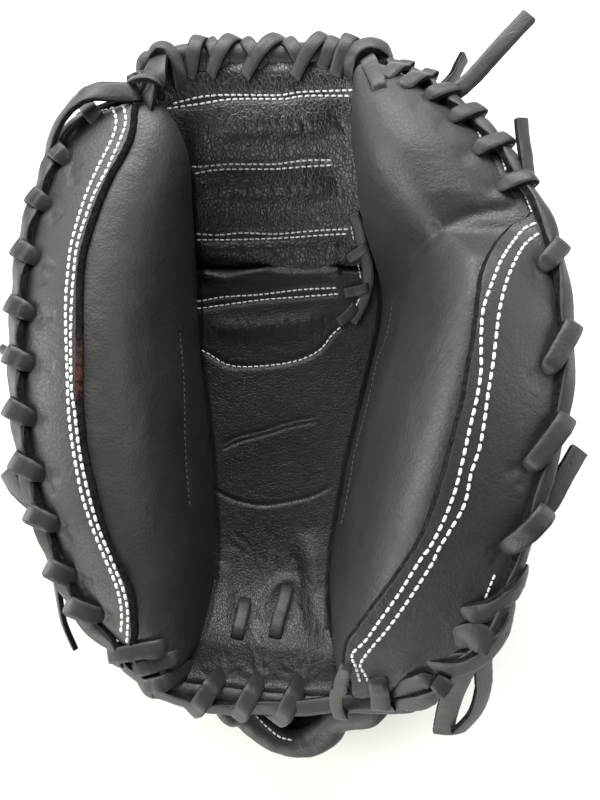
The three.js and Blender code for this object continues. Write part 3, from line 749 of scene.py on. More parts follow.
class Nodes:
    """A material's node tree, with short ways to add and join nodes."""

    def __init__(self, name):
        self.material = bpy.data.materials.new(name)
        self.material.use_nodes = True
        self.tree = self.material.node_tree
        self.shader = self.tree.nodes["Principled BSDF"]

    def add(self, kind, inputs=None, **settings):
        node = self.tree.nodes.new(kind)
        for key, value in settings.items():
            setattr(node, key, value)
        for key, value in (inputs or {}).items():
            self.feed(node.inputs[key], value)
        return node

    def feed(self, socket, value):
        """Links another node's output to a socket, or sets the socket's constant."""
        if isinstance(value, bpy.types.NodeSocket):
            self.tree.links.new(value, socket)
        else:
            socket.default_value = value

    def finish(self, tint, roughness, gloss, normal=None):
        """Feeds the shader, and gives the finished material."""
        self.feed(self.shader.inputs["Base Color"], tint)
        self.feed(self.shader.inputs["Roughness"], roughness)
        self.feed(self.shader.inputs["Specular IOR Level"], gloss)
        if normal:
            self.feed(self.shader.inputs["Normal"], normal)
        return self.material

    def place(self, stretch=EVEN):
        """The place on the piece in metres, stretched for a pattern."""
        place = self.add("ShaderNodeTexCoord").outputs["Object"]
        if stretch == EVEN:
            return place
        return self.add("ShaderNodeMapping", {"Vector": place, "Scale": stretch}).outputs[0]

    def noise(self, vector, scale, detail=2.0, roughness=0.5, distortion=0.0):
        return self.add("ShaderNodeTexNoise", {
            "Vector": vector, "Scale": scale, "Detail": detail, "Roughness": roughness,
            "Distortion": distortion}).outputs["Fac"]

    def cells(self, vector, scale, smoothness=0.5):
        inputs = {"Vector": vector, "Scale": scale, "Smoothness": smoothness}
        return self.add("ShaderNodeTexVoronoi", inputs, feature="SMOOTH_F1").outputs["Distance"]

    def cracks(self, vector, scale, width):
        """Flat grains with fine cracks between them, from 0 in a crack to 1 on a grain."""
        shift = self.add("ShaderNodeTexNoise", {"Vector": vector, "Scale": scale * 0.6,
                                                "Detail": 2.0}).outputs["Color"]
        shift = self.add("ShaderNodeVectorMath", {0: shift, "Scale": 0.5 / scale},
                         operation="SCALE").outputs[0]
        vector = self.add("ShaderNodeVectorMath", {0: vector, 1: shift},
                          operation="ADD").outputs[0]
        edge = self.add("ShaderNodeTexVoronoi", {"Vector": vector, "Scale": scale},
                        feature="DISTANCE_TO_EDGE").outputs["Distance"]
        return self.ramp(edge, 0.0, width, 0.0, 1.0)

    def math(self, operation, a, b=0.0):
        return self.add("ShaderNodeMath", {0: a, 1: b}, operation=operation).outputs[0]

    def ramp(self, value, low, high, a, b):
        return self.add("ShaderNodeMapRange", {
            "Value": value, "From Min": low, "From Max": high, "To Min": a,
            "To Max": b}).outputs["Result"]

    def mix(self, factor, a, b):
        node = self.add("ShaderNodeMix", data_type="RGBA")
        for key, value in ((0, factor), (6, a), (7, b)):
            self.feed(node.inputs[key], value)
        return node.outputs[2]

    def bump(self, height, distance, strength=1.0, under=None):
        inputs = {"Height": height, "Distance": distance, "Strength": strength}
        if under is not None:
            inputs["Normal"] = under
        return self.add("ShaderNodeBump", inputs).outputs["Normal"]


def shade(colour, factor=1.0):
    """A colour made darker or lighter, with its alpha."""
    return (*(c * factor for c in colour), 1.0)


def leather_material(name, colour, roughness, gloss, grain, cracks, creases, dusty):
    """Tanned black leather: grain, fine cracks, soft creases and a little dust."""
    nodes = Nodes(name)
    place = nodes.place()
    broad = nodes.noise(place, 24, 3, 0.55)
    fine = nodes.noise(place, 700, 2, 0.5)
    pebble = nodes.cells(place, grain[0])
    crackle = nodes.cracks(nodes.place(cracks[2]), cracks[0], 0.16)
    tint = nodes.mix(nodes.ramp(broad, 0.3, 0.7, 0.0, 1.0), shade(colour, 0.85),
                     shade(colour, 1.18))
    dust = nodes.ramp(nodes.noise(place, 110, 6, 0.75), 0.6, 0.8, 0.0, dusty)
    tint = nodes.mix(dust, tint, shade(colour, 3.0))
    rough = nodes.math("ADD", nodes.ramp(broad, 0.3, 0.7, roughness - 0.05, roughness + 0.05),
                       nodes.ramp(crackle, 0.0, 1.0, 0.1, 0.0))
    folds = nodes.noise(nodes.place(creases[2]), creases[0], 5, 0.6, 0.9)
    folds = nodes.ramp(folds, 0.3, 0.7, 0.0, 1.0)
    normal = nodes.bump(folds, creases[1] * MM, 0.6)
    normal = nodes.bump(crackle, cracks[1] * MM, 0.7, normal)
    normal = nodes.bump(pebble, grain[1] * MM, 0.6, normal)
    normal = nodes.bump(fine, grain[1] * 0.5 * MM, 0.5, normal)
    return nodes.finish(tint, rough, gloss, normal)


# Where the thumb band's cut edge is worn
WORN_PIXEL = (80, 370)
WORN_HEIGHT = 126


def suede_and_painted_shade_material(name, colour, worn_colour):
    """The raw cut edge of leather: matt, fibrous and uneven, with one spot worn to brown. Its
    colour is partly the cut leather's own dark tone and partly painted shade for the cut faces in
    shadow.
    """
    nodes = Nodes(name)
    place = nodes.place()
    fibres = nodes.noise(place, 900, 5, 0.8)
    patches = nodes.noise(place, 420, 5, 0.8)
    tint = nodes.mix(nodes.ramp(patches, 0.38, 0.64, 0.0, 1.0), shade(colour, 0.35),
                     shade(colour, 2.4))
    spot = at_height(WORN_PIXEL, WORN_HEIGHT)
    squashed = nodes.add("ShaderNodeMapping", {
        "Vector": place, "Location": (-spot.x, -spot.y * 0.3, -spot.z * 0.5),
        "Scale": (1, 0.3, 0.5)}).outputs["Vector"]
    away = nodes.add("ShaderNodeVectorMath", {"Vector": squashed},
                     operation="LENGTH").outputs["Value"]
    worn = nodes.math("MULTIPLY", nodes.ramp(away, 0.002, 0.005, 1.0, 0.0),
                      nodes.ramp(patches, 0.42, 0.6, 0.05, 1.0))
    tint = nodes.mix(worn, tint, shade(worn_colour))
    return nodes.finish(tint, 0.95, 0.1, nodes.bump(fibres, 0.5 * MM))


def thread_material(name, colour):
    nodes = Nodes(name)
    place = nodes.place()
    twist = nodes.add("ShaderNodeTexWave", {"Vector": place, "Scale": 480, "Distortion": 1.5},
                      bands_direction="DIAGONAL").outputs["Fac"]
    tint = nodes.mix(twist, shade(colour, 0.75), shade(colour))
    return nodes.finish(tint, 0.6, 0.5, nodes.bump(twist, 0.12 * MM, 0.6))


def floor_material(name, colour):
    nodes = Nodes(name)
    mottle = nodes.noise(nodes.place(), 3, 3, 0.5)
    tint = nodes.mix(mottle, shade(colour, 0.985), shade(colour))
    return nodes.finish(tint, 0.85, 0.2)


# The leathers: colour setting, roughness, gloss, then the scale and depth in millimetres of the
# grain, of the cracks and of the creases with their patterns' stretch, and the share of dust
LEATHERS = {
    "matt_black_leather": ("leather_colour", 0.5, 0.55, (850, 0.1), (520, 0.05, EVEN),
                           (45, 0.5, EVEN), 0.45),
    "glossy_palm_leather": ("pocket_colour", 0.4, 0.5, (900, 0.05),
                            (700, 0.12, (1.2, 0.85, 0.85)), (90, 0.4, EVEN), 0.1),
    "glossy_web_leather": ("pocket_colour", 0.38, 0.7, (1000, 0.05),
                           (420, 0.2, (1.3, 0.85, 0.85)), (120, 0.45, (1.5, 0.8, 0.8)), 0.1),
    "rawhide_lace": ("lace_colour", 0.46, 0.5, (1500, 0.04), (700, 0.03, EVEN),
                     (140, 0.25, EVEN), 0.3),
}


def material(name):
    """A finish of the mitt by name, made the first time that it is asked for."""
    known = bpy.data.materials.get(name)
    if known:
        return known
    finish = bpy.context.scene.mitt_finish
    if name in LEATHERS:
        colour, *look = LEATHERS[name]
        return leather_material(name, getattr(finish, colour), *look)
    # The raw edges' suede: the cut leather's own dark tone, deepened further as painted shade.
    if name == "raw_edge_suede":
        return suede_and_painted_shade_material(name, finish.edge_colour_with_painted_shade, finish.worn_colour)
    if name == "white_thread":
        return thread_material(name, finish.thread_colour)
    if name == "black_thread":
        return thread_material(name, finish.dark_thread_colour)
    return floor_material(name, bpy.context.scene.mitt_stage.floor_colour)


# Pads, bands, pocket and back


def rounded_end(y, start, end, radius):
    """How far a section is drawn in, near the rounded ends of a roll."""
    away = min(y - start, end - y)
    if away >= radius:
        return 1.0
    t = 1 - max(away, 0) / radius
    return max(math.sqrt(max(1 - t * t, 0)), 0.06)


def end_shape(side, y):
    """How a section of a roll is drawn in near the roll's rounded ends."""
    section = roll_front(side, y, 6, 10) + roll_back(side, y, 6)
    cu = sum(p[0] for p in section) / len(section)
    top = max(p[1] for p in section)
    cz = lerp(top - 8, sum(p[1] for p in section) / len(section), 0.5)
    f = rounded_end(y, HEEL_END, side["end"], ROLL_ROUNDING)
    return lambda u, z: (cu + (u - cu) * f, cz + (z - cz) * f)


def placed_section(side, y, section):
    """A section on a roll in the frame, drawn in near the roll's rounded ends."""
    drawn_in = end_shape(side, y)
    return [placed((side["sign"] * u, y, z)) for u, z in (drawn_in(*p) for p in section)]


def turned_down(top, rim, over, steps):
    """Leather over a roll, with its last points turned down past the rim."""
    height = top[-1][1]
    return top + [(rim + out * over, height - down) for out, down in steps]


def make_pad(name, side):
    """A padded roll, with a few soft dents."""
    rings = []
    for y in stations(HEEL_END, side["end"], 1.6):
        ring = roll_front(side, y, 24, 66) + roll_back(side, y, 22)
        if side["sign"] < 0:
            middle = (max(p[0] for p in ring) + min(p[0] for p in ring)) / 2
            inner = rounded_end(y, INNER_START, side["end"] + INNER_OVERRUN, INNER_ROUNDING)
            ring = [(middle + (u - middle) * inner if u < middle else u, z) for u, z in ring]
        rings.append(placed_section(side, y, ring))
    pad = loft(name, rings)
    raise_surface(pad, lambda p, n: (0.7 * soft_noise(p, 36, 1) + 0.35 * soft_noise(p, 14, 2)
                                     + 0.12 * soft_noise(p, 6, 3) - 0.3))
    return pad


def make_band(name, side, end):
    """The leather band over a roll, from its raw edge to the rim, where it turns down."""
    rings = []
    across = 56
    for y in stations(HEEL_END, end, 1.0):
        narrowed = math.sqrt(clamp((end - y) / BAND_TIP, 0.02, 1))
        rim = side["rimU"](y)
        edge = lerp(rim, side["band"](y), narrowed)
        over = overhang(side, y)
        top = []
        for i in range(across):
            u = lerp(edge, rim, i / (across - 1))
            top.append((u, top_height(side, y, u) + BAND_LEATHER + BAND_RISE))
        top = turned_down(top, rim, over, ((0.45, 0.1), (0.85, 0.6), (1.05, 1.6)))
        fuzz = 0.35 * soft_noise(Vector((y, 0, 0)) * MM, 2.2, 5)
        first = top[0]
        thick = BAND_LEATHER + 0.5
        cut = side["cut"]
        # The cut edge, from the face down to the underside
        raw = [(first[0] + 0.25 + fuzz, first[1] - 0.05),
               (first[0] - 0.3 * cut + fuzz, first[1] - 0.35),
               (first[0] - 0.8 * cut + fuzz, first[1] - thick * 0.45),
               (first[0] - cut + fuzz, first[1] - thick)]
        under = [(p[0] - 0.3, p[1] - thick) for p in top[::-7]]
        rings.append(placed_section(side, y, raw[::-1] + top[1:] + under[:-1]))
    return loft(name, rings, {0, 1, 2}, True)


def make_lobe_rim(name, side, start, end):
    """The rim's leather where no band lies over the roll. Its inner edge runs into the roll."""
    rings = []
    for y in stations(start, end, 1.0):
        rim = side["rimU"](y)
        over = overhang(side, y)
        top = []
        for i in range(14):
            u = lerp(rim - 7, rim, i / 13)
            top.append((u, top_height(side, y, u) + lerp(-1.1, 0.9, smoothstep(i / 13, 0, 1))))
        top = turned_down(top, rim, over, ((0.5, 0.1), (0.9, 0.7), (1.08, 1.8)))
        under = [(p[0] - 0.3, p[1] - LOBE_LEATHER) for p in top[::-4]]
        rings.append(placed_section(side, y, top + under))
    return loft(name, rings)


def make_panel(name, start, end):
    """A panel of the pocket floor, padded and closed, with rounded edges."""
    across = 150
    rings = []
    for y in stations(start, end, 0.8):
        left = -THUMB_SIDE["foot"](y) - PANEL_OVERLAP
        right = FINGER_SIDE["foot"](y) + PANEL_OVERLAP
        left -= WEB_WIDENING * smoothstep(y, 112, 138)
        sunk = FOLD_DEPTH * math.exp(-(min(abs(y - WEB_FOLD), 30) / FOLD_REACH) ** 2)
        sunk_end = TOP_DIP * smoothstep(y, 147, 152)
        top, bottom = [], []
        for i in range(across):
            x = lerp(left, right, i / (across - 1))
            edge = min(x - left, right - x)
            dip = EDGE_DIP * (1 - smoothstep(edge, 0, EDGE_REACH)) + sunk + sunk_end
            top.append(placed((x, y, floor_top(x, y) - dip)))
        for x in (right, lerp(left, right, 0.75), (left + right) / 2,
                  lerp(left, right, 0.25), left):
            bottom.append(placed((x, y, floor_top(x, y) - slab_thickness(y) + GAP)))
        rings.append(top + bottom)
    return loft(name, rings, plain_ends=True)


def make_back(name, side, end):
    """The leather shell of one side of the back."""
    rows = []
    for y in stations(HEEL_END, end, 2.5):
        outline = evenly(back_outline(side, y, 40), back_at["keep"](y), 70)
        rows.append([placed((side["sign"] * u, y, z)) for u, z in outline])
    back = sheet(name, rows)
    if side["sign"] < 0:
        back.data.flip_normals()
    return thicken(back, BACK_LEATHER, 0.5)


# The middle of the strap's lip: pixels, heights and radii
LIP = [
    (243, 716, 38, 6), (257, 727, 34, 6.6), (275, 738, 31, 6.8), (293, 743, 30, 7.2),
    (312, 740, 31, 7.8), (328, 731, 34, 7.8), (341, 719, 39, 6.6),
]


def strap_outline(y, steps=24):
    """The strap's section at a place along the mitt, from its thumb side to its finger side."""
    def half(side, u, z):
        flat = side["flat"](max(y, HEEL_END)) * min(1, u / 60)
        base = strap_at["base"](y) if y < HEEL_END else 0
        belly = (u - 0.1 * (z - base), base + 0.4 * (z - base))
        corner = (flat + 0.45 * (u - flat), base)
        return bezier((u, z), belly, corner, (flat, base), steps)

    def edge_of(side, u, z):
        if y < HEEL_END:
            return (u, z)
        lowest = evenly(back_outline(side, y), back_at["keep"](y), 9)[-1]
        return (lowest[0] - 1.8, lowest[1] - 1.8)

    thumb = edge_of(THUMB_SIDE, strap_at["thumbU"](y), strap_at["thumbZ"](y))
    finger = edge_of(FINGER_SIDE, strap_at["fingerU"](y), strap_at["fingerZ"](y))
    left = [(-u, z) for u, z in half(THUMB_SIDE, *thumb)]
    return left + half(FINGER_SIDE, *finger)[::-1]


def lip_line():
    """The middle of the strap's lip and its radius, from the thumb side to the finger side."""
    def side_edge(side, name, y, radius):
        u, z = strap_at[name + "U"](y), strap_at[name + "Z"](y)
        return Vector((*placed((side["sign"] * u, y, z)), radius * MM))

    heel = [(-128, 2.2), (-136, 2.6), (-144, 3.4), (-151, 4.6)]
    middle = [Vector((*at_height(p[:2], p[2]), p[3] * MM)) for p in LIP]
    stops = ([side_edge(THUMB_SIDE, "thumb", *each) for each in heel] + middle
             + [side_edge(FINGER_SIDE, "finger", *each) for each in heel[::-1]])
    return through(stops, 1.2 * MM)


def make_strap(name):
    """The strap, with its front drawn up to its lip."""
    rows = [[placed((u, y, z)) for u, z in strap_outline(y)]
            for y in stations(STRAP_START, STRAP_END, 1.6)]
    near = rows[0]
    edge = [p for p in lip_line() if p.y < near[0].y + 0.001]
    front = []
    for i in range(len(near)):
        where = i / (len(near) - 1) * (len(edge) - 1)
        k = min(int(where), len(edge) - 2)
        front.append(edge[k].xyz.lerp(edge[k + 1].xyz, where - k))
    apron = []
    for t in stations(1, 0.1, 0.1):
        belly = math.sin(math.pi * t) * 3.5 * MM
        apron.append([a.lerp(b, t) + Vector((0, -0.5, -1)) * belly * math.sin(
            math.pi * i / (len(near) - 1)) for i, (a, b) in enumerate(zip(near, front))])
    rows = apron + rows
    strap = sheet(name, rows)
    strap.data.flip_normals()
    return thicken(strap, STRAP_LEATHER, 0.8)


def make_lip(name):
    """The rolled and padded lip of the strap, which shows below the heel."""
    line = lip_line()
    rings = []
    for i, p in enumerate(line):
        before, after = line[max(i - 1, 0)].xyz, line[min(i + 1, len(line) - 1)].xyz
        along = (after - before).normalized()
        across = along.cross(UP).normalized()
        up = across.cross(along)
        reach = p[3] * rounded_end(min(i, len(line) - 1 - i) * 1.2, 0, 400, 3)
        rings.append([p.xyz + across * (reach * math.cos(t)) + up * (reach * 0.8 * math.sin(t))
                      for t in (2 * math.pi * k / 28 for k in range(28))])
    lip = loft(name, rings)
    raise_surface(lip, lambda p, n: 0.6 * soft_noise(p, 14, 6) + 0.25 * soft_noise(p, 5, 7))
    return lip


def make_roll(name, roll):
    """A rolled welt with round ends."""
    rings = []
    for x in stations(roll["from"], roll["to"], 1.2):
        centre = roll_centre(roll, x)
        reach = roll["radius"] * rounded_end(x, roll["from"], roll["to"], roll["radius"])
        ring = []
        for k in range(32):
            turn = 2 * math.pi * k / 32
            ring.append(placed((centre.x, centre.y + reach * math.cos(turn),
                                centre.z + reach * math.sin(turn))))
        rings.append(ring)
    roll_piece = loft(name, rings)
    raise_surface(roll_piece, lambda p, n: 0.5 * soft_noise(p, 12, 4) + 0.2 * soft_noise(p, 4, 5))
    return roll_piece


# Laces

# A lace's section as shares of its half width and half thickness. Its sides are cut raw.
LACE_SECTION = [
    (-1, -0.62), (-0.99, 0.62), (-0.93, 0.86), (-0.5, 1.0), (0, 1.05), (0.5, 1.0), (0.93, 0.86),
    (0.99, 0.62), (1, -0.62), (0.93, -0.9), (0.45, -1), (-0.45, -1), (-0.93, -0.9),
]
RAW_SIDES = {0, 7}


# How deep a lace dives into a hole, in millimetres
HOLE_DEPTH = 3
# A turn over a rim: how it goes down outside it and back in, past its crest and up in
# millimetres, and its widths from the hole on
TURN_DOWN = ((0.7, -4.5), (-0.6, -8.5), (-4.5, -11), (-8, -11))
TURN_WIDTHS = (0.5, 0.72, 0.95, 1, 1, 1, 1, 0.95, 0.85, 0.75)
WIND_WIDTHS = (0.8, 0.95)


class Lace(Strips):
    """Strips of lace. A stop is a place, the face's normal and a share of the width."""

    def __init__(self, width, thickness, seed=1):
        super().__init__()
        self.width, self.thickness = width * MM, thickness * MM
        self.dice = random.Random(seed)

    def strip(self, stops, size=1.0, twist=None, thick=1.0):
        """A strip through stops. Its width follows theirs, and it may twist on its way."""
        span = 0.012
        places = [Vector((*stop[0], i * span)) for i, stop in enumerate(stops)]
        line = through(places, 0.9 * MM + span * 0.05)
        seed = self.dice.uniform(0, 50)
        across = None
        for i, p in enumerate(line):
            before, after = line[max(i - 1, 0)].xyz, line[min(i + 1, len(line) - 1)].xyz
            along = (after - before).normalized()
            where = clamp(p[3] / span, 0, len(stops) - 1)
            k = min(int(where), len(stops) - 2)
            t = smoothstep(where - k, 0, 1)
            normal = stops[k][1].normalized().lerp(stops[k + 1][1].normalized(), t)
            wide = lerp(stops[k][2], stops[k + 1][2], t) * size
            sideways = along.cross(normal)
            if sideways.length > 0.15 or across is None:
                across = sideways.normalized()
            across = (across - along * across.dot(along)).normalized()
            normal = across.cross(along).normalized()
            turned, face = across, normal
            if twist:
                angle = twist(i / (len(line) - 1))
                turned = across * math.cos(angle) + normal * math.sin(angle)
                face = normal * math.cos(angle) - across * math.sin(angle)
            for a, n in LACE_SECTION:
                rough = 1 + 0.05 * soft_noise(p.xyz + turned * (a * 0.01), 2.5, seed)
                self.points.append(p.xyz + turned * (a * self.width * wide / 2 * rough)
                                   + face * (n * self.thickness * thick / 2))
        self.close(len(line), len(LACE_SECTION), RAW_SIDES, True)

    def tree_with(self, *names):
        """A search tree of pieces and of the lace so far, to lay more lace over both."""
        strand = self.piece("strand")
        tree = tree_of(*pieces_named(*names), strand)
        bpy.data.objects.remove(strand)
        return tree

    def knot(self, stops, thick=1.0):
        """A strip through rows of pixel, height in millimetres, normal and width."""
        self.strip([(at_height(p[:2], p[2]), Vector(p[3:6]), p[6]) for p in stops],
                   thick=thick)

    def bent(self, places, flat, size, widths, tilt=0.0):
        """Lace along places in an upright plane, with its face on the outside of its bends."""
        beside = flat.cross(UP).normalized()
        stops = []
        for i, place in enumerate(places):
            along = places[min(i + 1, len(places) - 1)] - places[max(i - 1, 0)]
            wide = widths[i] if i < len(widths) else 1
            stops.append((place, beside.cross(along.normalized()), size * wide))
        self.strip(stops, twist=lambda t: tilt * smoothstep(t, 0.1, 0.45))

    def turn(self, tree, side, hole, brow, size, tilt, clear):
        """Lace out of a hole, in one arch over the strand on the rim, and down outside it."""
        start, normal = seen_broadly(tree, hole)
        high = (rim_corner(side, rim_y(side, brow)).z + clear) * MM
        crest = at_height(brow, high / MM - 1.4)
        flat = Vector((crest.x - start.x, crest.y - start.y, 0))
        length = flat.length
        flat.normalize()

        def at(away, height):
            return Vector((start.x, start.y, 0)) + flat * away + UP * height

        middle = lerp(start.z, high, 0.5) + 1.5 * MM
        self.bent([start - normal * HOLE_DEPTH * MM - flat * 0.8 * MM,
                   start - normal * 0.4 * MM,
                   at(2.6 * MM, lerp(start.z, high, 0.25) + 1.9 * MM),
                   at(length * 0.5, max(middle, high)), at(length * 0.82, high + 0.2 * MM),
                   crest, *(at(length + past * MM, high + up * MM) for past, up in TURN_DOWN)],
                  flat, size, TURN_WIDTHS, tilt)

    def wind(self, tree, roll, hole, brow, size, clear):
        """Lace out of a hole beside a welt, round the welt to the brow and under it."""
        start, normal = seen_broadly(tree, hole)
        outwards = 1 if roll["edge"] > 0 else -1
        last = roll["brow"]
        reach = roll["radius"] + clear
        first_x = start.x / MM - DRAWING_SHIFT.x
        last_x = first_x
        for _ in range(3):
            height = roll_centre(roll, last_x).z + reach * math.sin(math.radians(last))
            last_x = at_height(brow, height).x / MM - DRAWING_SHIFT.x
        places = [start - normal * HOLE_DEPTH * MM, start - normal * 0.3 * MM]
        for turn in (50, 75, 100, 125, last, last + 25, last + 50, last + 75, last + 100):
            x = lerp(first_x, last_x, clamp((turn - 15) / (last - 15), 0, 1.4))
            centre = roll_centre(roll, x)
            angle = math.radians(turn)
            places.append(placed((x, centre.y - outwards * reach * math.cos(angle),
                                  centre.z + reach * math.sin(angle))))
        flat = Vector((places[6].x - start.x, places[6].y - start.y, 0)).normalized()
        self.bent(places, flat, size, WIND_WIDTHS)

    def lay(self, tree, pixels, size, lift, dives="", arch=0.0, thick=1.0, face=None):
        """Lace on what is seen along pixels. It may dive into a hole at its start or end."""
        if face:
            hits = [(seen(tree, p)[0], Vector(face).normalized()) for p in pixels]
        else:
            hits = taut([seen_broadly(tree, p) for p in through([Vector(p) for p in pixels], 7)])
        last = len(hits) - 1
        stops = []
        for i, (place, n) in enumerate(hits):
            rise = lift + arch * math.sin(math.pi * i / last)
            stops.append((place + n * rise * MM, n, size))
        if "start" in dives:
            place, n = hits[0]
            flat = (hits[1][0] - place).normalized()
            stops[:1] = [(place - n * HOLE_DEPTH * MM, n - flat, size * 0.85),
                         (place + n * 0.3 * MM, n - flat * 0.7, size * 0.95)]
        if "end" in dives:
            place, n = hits[-1]
            flat = (place - hits[-2][0]).normalized()
            stops[-1:] = [(place + n * 0.3 * MM, n + flat * 0.7, size * 0.95),
                          (place - n * HOLE_DEPTH * MM, n + flat, size * 0.85)]
        self.strip(stops, thick=thick)

    def tail(self, side, start, points, face, size):
        """A free end from under the rim's lace, through pixels at heights from the rim's."""
        y = rim_y(side, start)
        rim = rim_corner(side, y)
        face = Vector(face)
        stops = [(placed(rim_corner(side, y, -4, -4)), face, size * 0.9),
                 (placed(rim_corner(side, y, 0.5, -1)), face, size)]
        stops += [(at_height(p[:2], rim.z + p[2]), face, size) for p in points]
        self.strip(stops)


# Turns of lace over the rims: the pixels of each hole and of where it passes out of sight.
THUMB_WRAPS = [
    ((67, 161), (53, 149)), ((48, 207), (31, 195)), ((37, 260), (16, 247)),
    ((33, 315), (9, 303)), ((32, 365), (7, 354)), ((34, 420), (8, 406)), ((43, 475), (14, 460)),
    ((58, 525), (29, 512)), ((75, 577), (49, 566)), ((102, 615), (69, 604)),
]
# The finger rim's turns above this row of pixels are narrower and lean.
UPPER_RIM_PIXEL = 200
FINGER_WRAPS = [
    ((385, 77), (407, 63)), ((403, 86), (431, 72)), ((427, 98), (454, 88)),
    ((451, 120), (480, 108)), ((475, 151), (508, 138)), ((499, 187), (532, 177)),
    ((541, 268), (562, 244)), ((546, 370), (573, 325)), ((528, 466), (566, 418)),
    ((504, 548), (546, 511)),
]
# The knots' turns at the upper left and the lower right of the rims: rows of pixel, height in
# millimetres, the face's normal and the width
KNOT_TURNS = [
    [(58, 147, 112, -0.4, 0.3, 0.8, 0.8), (64, 135, 113, -0.4, 0.3, 0.8, 0.8),
     (73, 124, 112.5, -0.3, 0.4, 0.8, 0.8), (85, 116, 110, -0.2, 0.5, 0.8, 0.8)],
    [(100, 123, 106, 0.2, -0.3, 0.9, 1.0), (96, 118, 112, 0.1, -0.1, 1, 1.1),
     (90, 111, 113, -0.1, 0.1, 1, 1.1), (86, 105, 108, -0.4, 0.4, 0.7, 1.0)],
]
HEEL_TURNS = [
    [(421, 661, 113, -0.2, -0.4, 0.8, 0.5), (431, 666, 117, -0.1, -0.6, 0.9, 1.1),
     (446, 669, 119.5, 0.05, -0.6, 0.9, 1.35), (462, 667, 121.5, 0.2, -0.6, 0.9, 1.35),
     (477, 660, 124.5, 0.35, -0.5, 0.9, 1.35), (489, 650, 127.5, 0.5, -0.4, 0.9, 1.3),
     (500, 635, 131, 0.6, -0.3, 0.9, 1.2), (508, 618, 134, 0.8, -0.2, 0.7, 1.0),
     (512, 606, 130, 1, 0, 0.2, 0.8)],
    [(458, 611, 130, -0.3, -0.4, 0.8, 0.5), (468, 613, 134.5, -0.1, -0.5, 0.9, 1.1),
     (482, 612, 136, 0.1, -0.5, 0.9, 1.35), (496, 606, 138, 0.3, -0.5, 0.9, 1.35),
     (509, 595, 140.5, 0.5, -0.4, 0.9, 1.25), (520, 582, 142, 0.8, -0.3, 0.7, 1.1),
     (525, 570, 138, 1, 0, 0.2, 0.9)],
    [(455, 640, 125, -0.3, 0, 0.9, 1.0), (464, 636, 130, -0.1, -0.1, 1, 1.4),
     (478, 637, 133, 0.1, -0.1, 1, 1.55), (491, 643, 133, 0.3, -0.1, 1, 1.45)],
    [(394, 694, 99, -0.3, -0.3, 0.9, 0.4), (402, 689, 106, -0.2, -0.4, 0.9, 1.0),
     (412, 684, 112, -0.1, -0.4, 0.9, 1.3), (423, 680, 116.5, 0, -0.4, 0.9, 1.2),
     (433, 679, 117, 0.1, -0.4, 0.9, 0.7)],
    [(395, 701, 95, -0.3, -0.2, 0.9, 0.45), (404, 703, 100, -0.1, -0.4, 0.9, 1.15),
     (415, 702, 105, 0, -0.4, 0.9, 1.4), (427, 698, 110, 0.1, -0.4, 0.9, 1.25),
     (438, 690, 114, 0.2, -0.4, 0.9, 0.7)],
    [(434, 680, 119.5, 0.1, -0.2, 1, 0.9), (441, 685, 119.5, 0.2, -0.2, 1, 1.05),
     (448, 690, 118.5, 0.3, -0.2, 1, 1.05)],
]
# Turns over the welts: the pixels of each hole and of where it passes out of sight.
TOP_WRAPS = [
    ((190, 76), (201, 33)), ((211, 74), (234, 31)), ((246, 75), (278, 33)),
    ((296, 76), (324, 34)), ((336, 74), (351, 34)),
]
TOP_UNDER = [((224, 65), (208, 40)), ((264, 65), (244, 38)), ((304, 65), (286, 38)),
             ((322, 66), (336, 37))]
# The first of the heel's turns go over the thumb band's corner, and the others over the welt.
CORNER_WRAPS = 3
HEEL_WRAPS = [
    ((165, 644), (111, 655)), ((178, 655), (134, 669)), ((190, 665), (146, 686)),
    ((222, 674), (192, 706)), ((260, 678), (236, 714)), ((301, 680), (276, 717)),
]
# The two wraps between the heel's welt and the finger band, with their widths
HEEL_STRAPS = [([(346, 668), (344, 680), (341, 697), (341, 712), (342, 722)], 0.8),
               ([(377, 679), (380, 690), (384, 701), (387, 708)], 1.15)]

# Free ends: where each leaves the rim, its pixels and heights from the rim, face and width
THUMB_TAILS = [
    ((28, 508), [(18, 490, -4), (11, 479, -7), (7, 472, -9)], (0, 0, 1), 0.85),
    ((52, 556), [(56, 573, -10), (59, 596, -16), (64, 622, -24), (74, 646, -32)],
     (-1, 0.2, 0.9), 0.85),
    ((9, 356), [(6, 352, -3), (2, 348, -5)], (0, 0, 1), 0.5),
]
FINGER_TAILS = [
    ((450, 93), [(458, 90, 1), (474, 76, 3), (500, 47, 7), (529, 16, 10)], (-0.4, -0.3, 1), 1.0),
    ((445, 86), [(452, 80, -2), (458, 68, -2), (464, 57, -2)], (1, 0.2, 0.6), 0.8),
    ((531, 180), [(526, 160, 0), (523, 140, 0), (521, 119, 1)], (0.3, 0.2, 0.9), 0.78),
    ((540, 524), [(550, 502, -1), (564, 476, -2), (579, 450, -4)], (0.3, 0.3, 1), 0.95),
    ((470, 655), [(460, 676, -14), (453, 692, -28), (447, 712, -44), (443, 732, -60)],
     (-0.1, -0.9, 0.6), 1.35),
    ((487, 640), [(483, 664, -16), (483, 688, -32), (475, 712, -48), (458, 731, -59)],
     (0.4, -0.5, 0.8), 1.15),
]

# Lace along the heel's welt and the web's right edge, and the palm's two loops, as pixels
HEEL_STRAND = [(112, 655), (130, 670), (150, 685), (183, 699), (230, 705), (257, 704), (300, 705),
               (340, 702), (383, 699), (400, 697)]
WEB_EDGE_STRAND = [(354, 215), (358, 226), (361, 240), (366, 257), (369, 277), (365, 297),
                   (359, 311), (353, 321)]
WEB_EDGE_TURNS = [[(348, 259), (356, 254), (366, 247)], [(345, 293), (355, 291), (367, 288)],
                  [(339, 322), (347, 316), (355, 307)]]
HEEL_LOOPS = [[(245, 600), (243, 611), (240, 624), (237, 637)],
              [(287, 588), (284, 602), (279, 619), (275, 636)]]

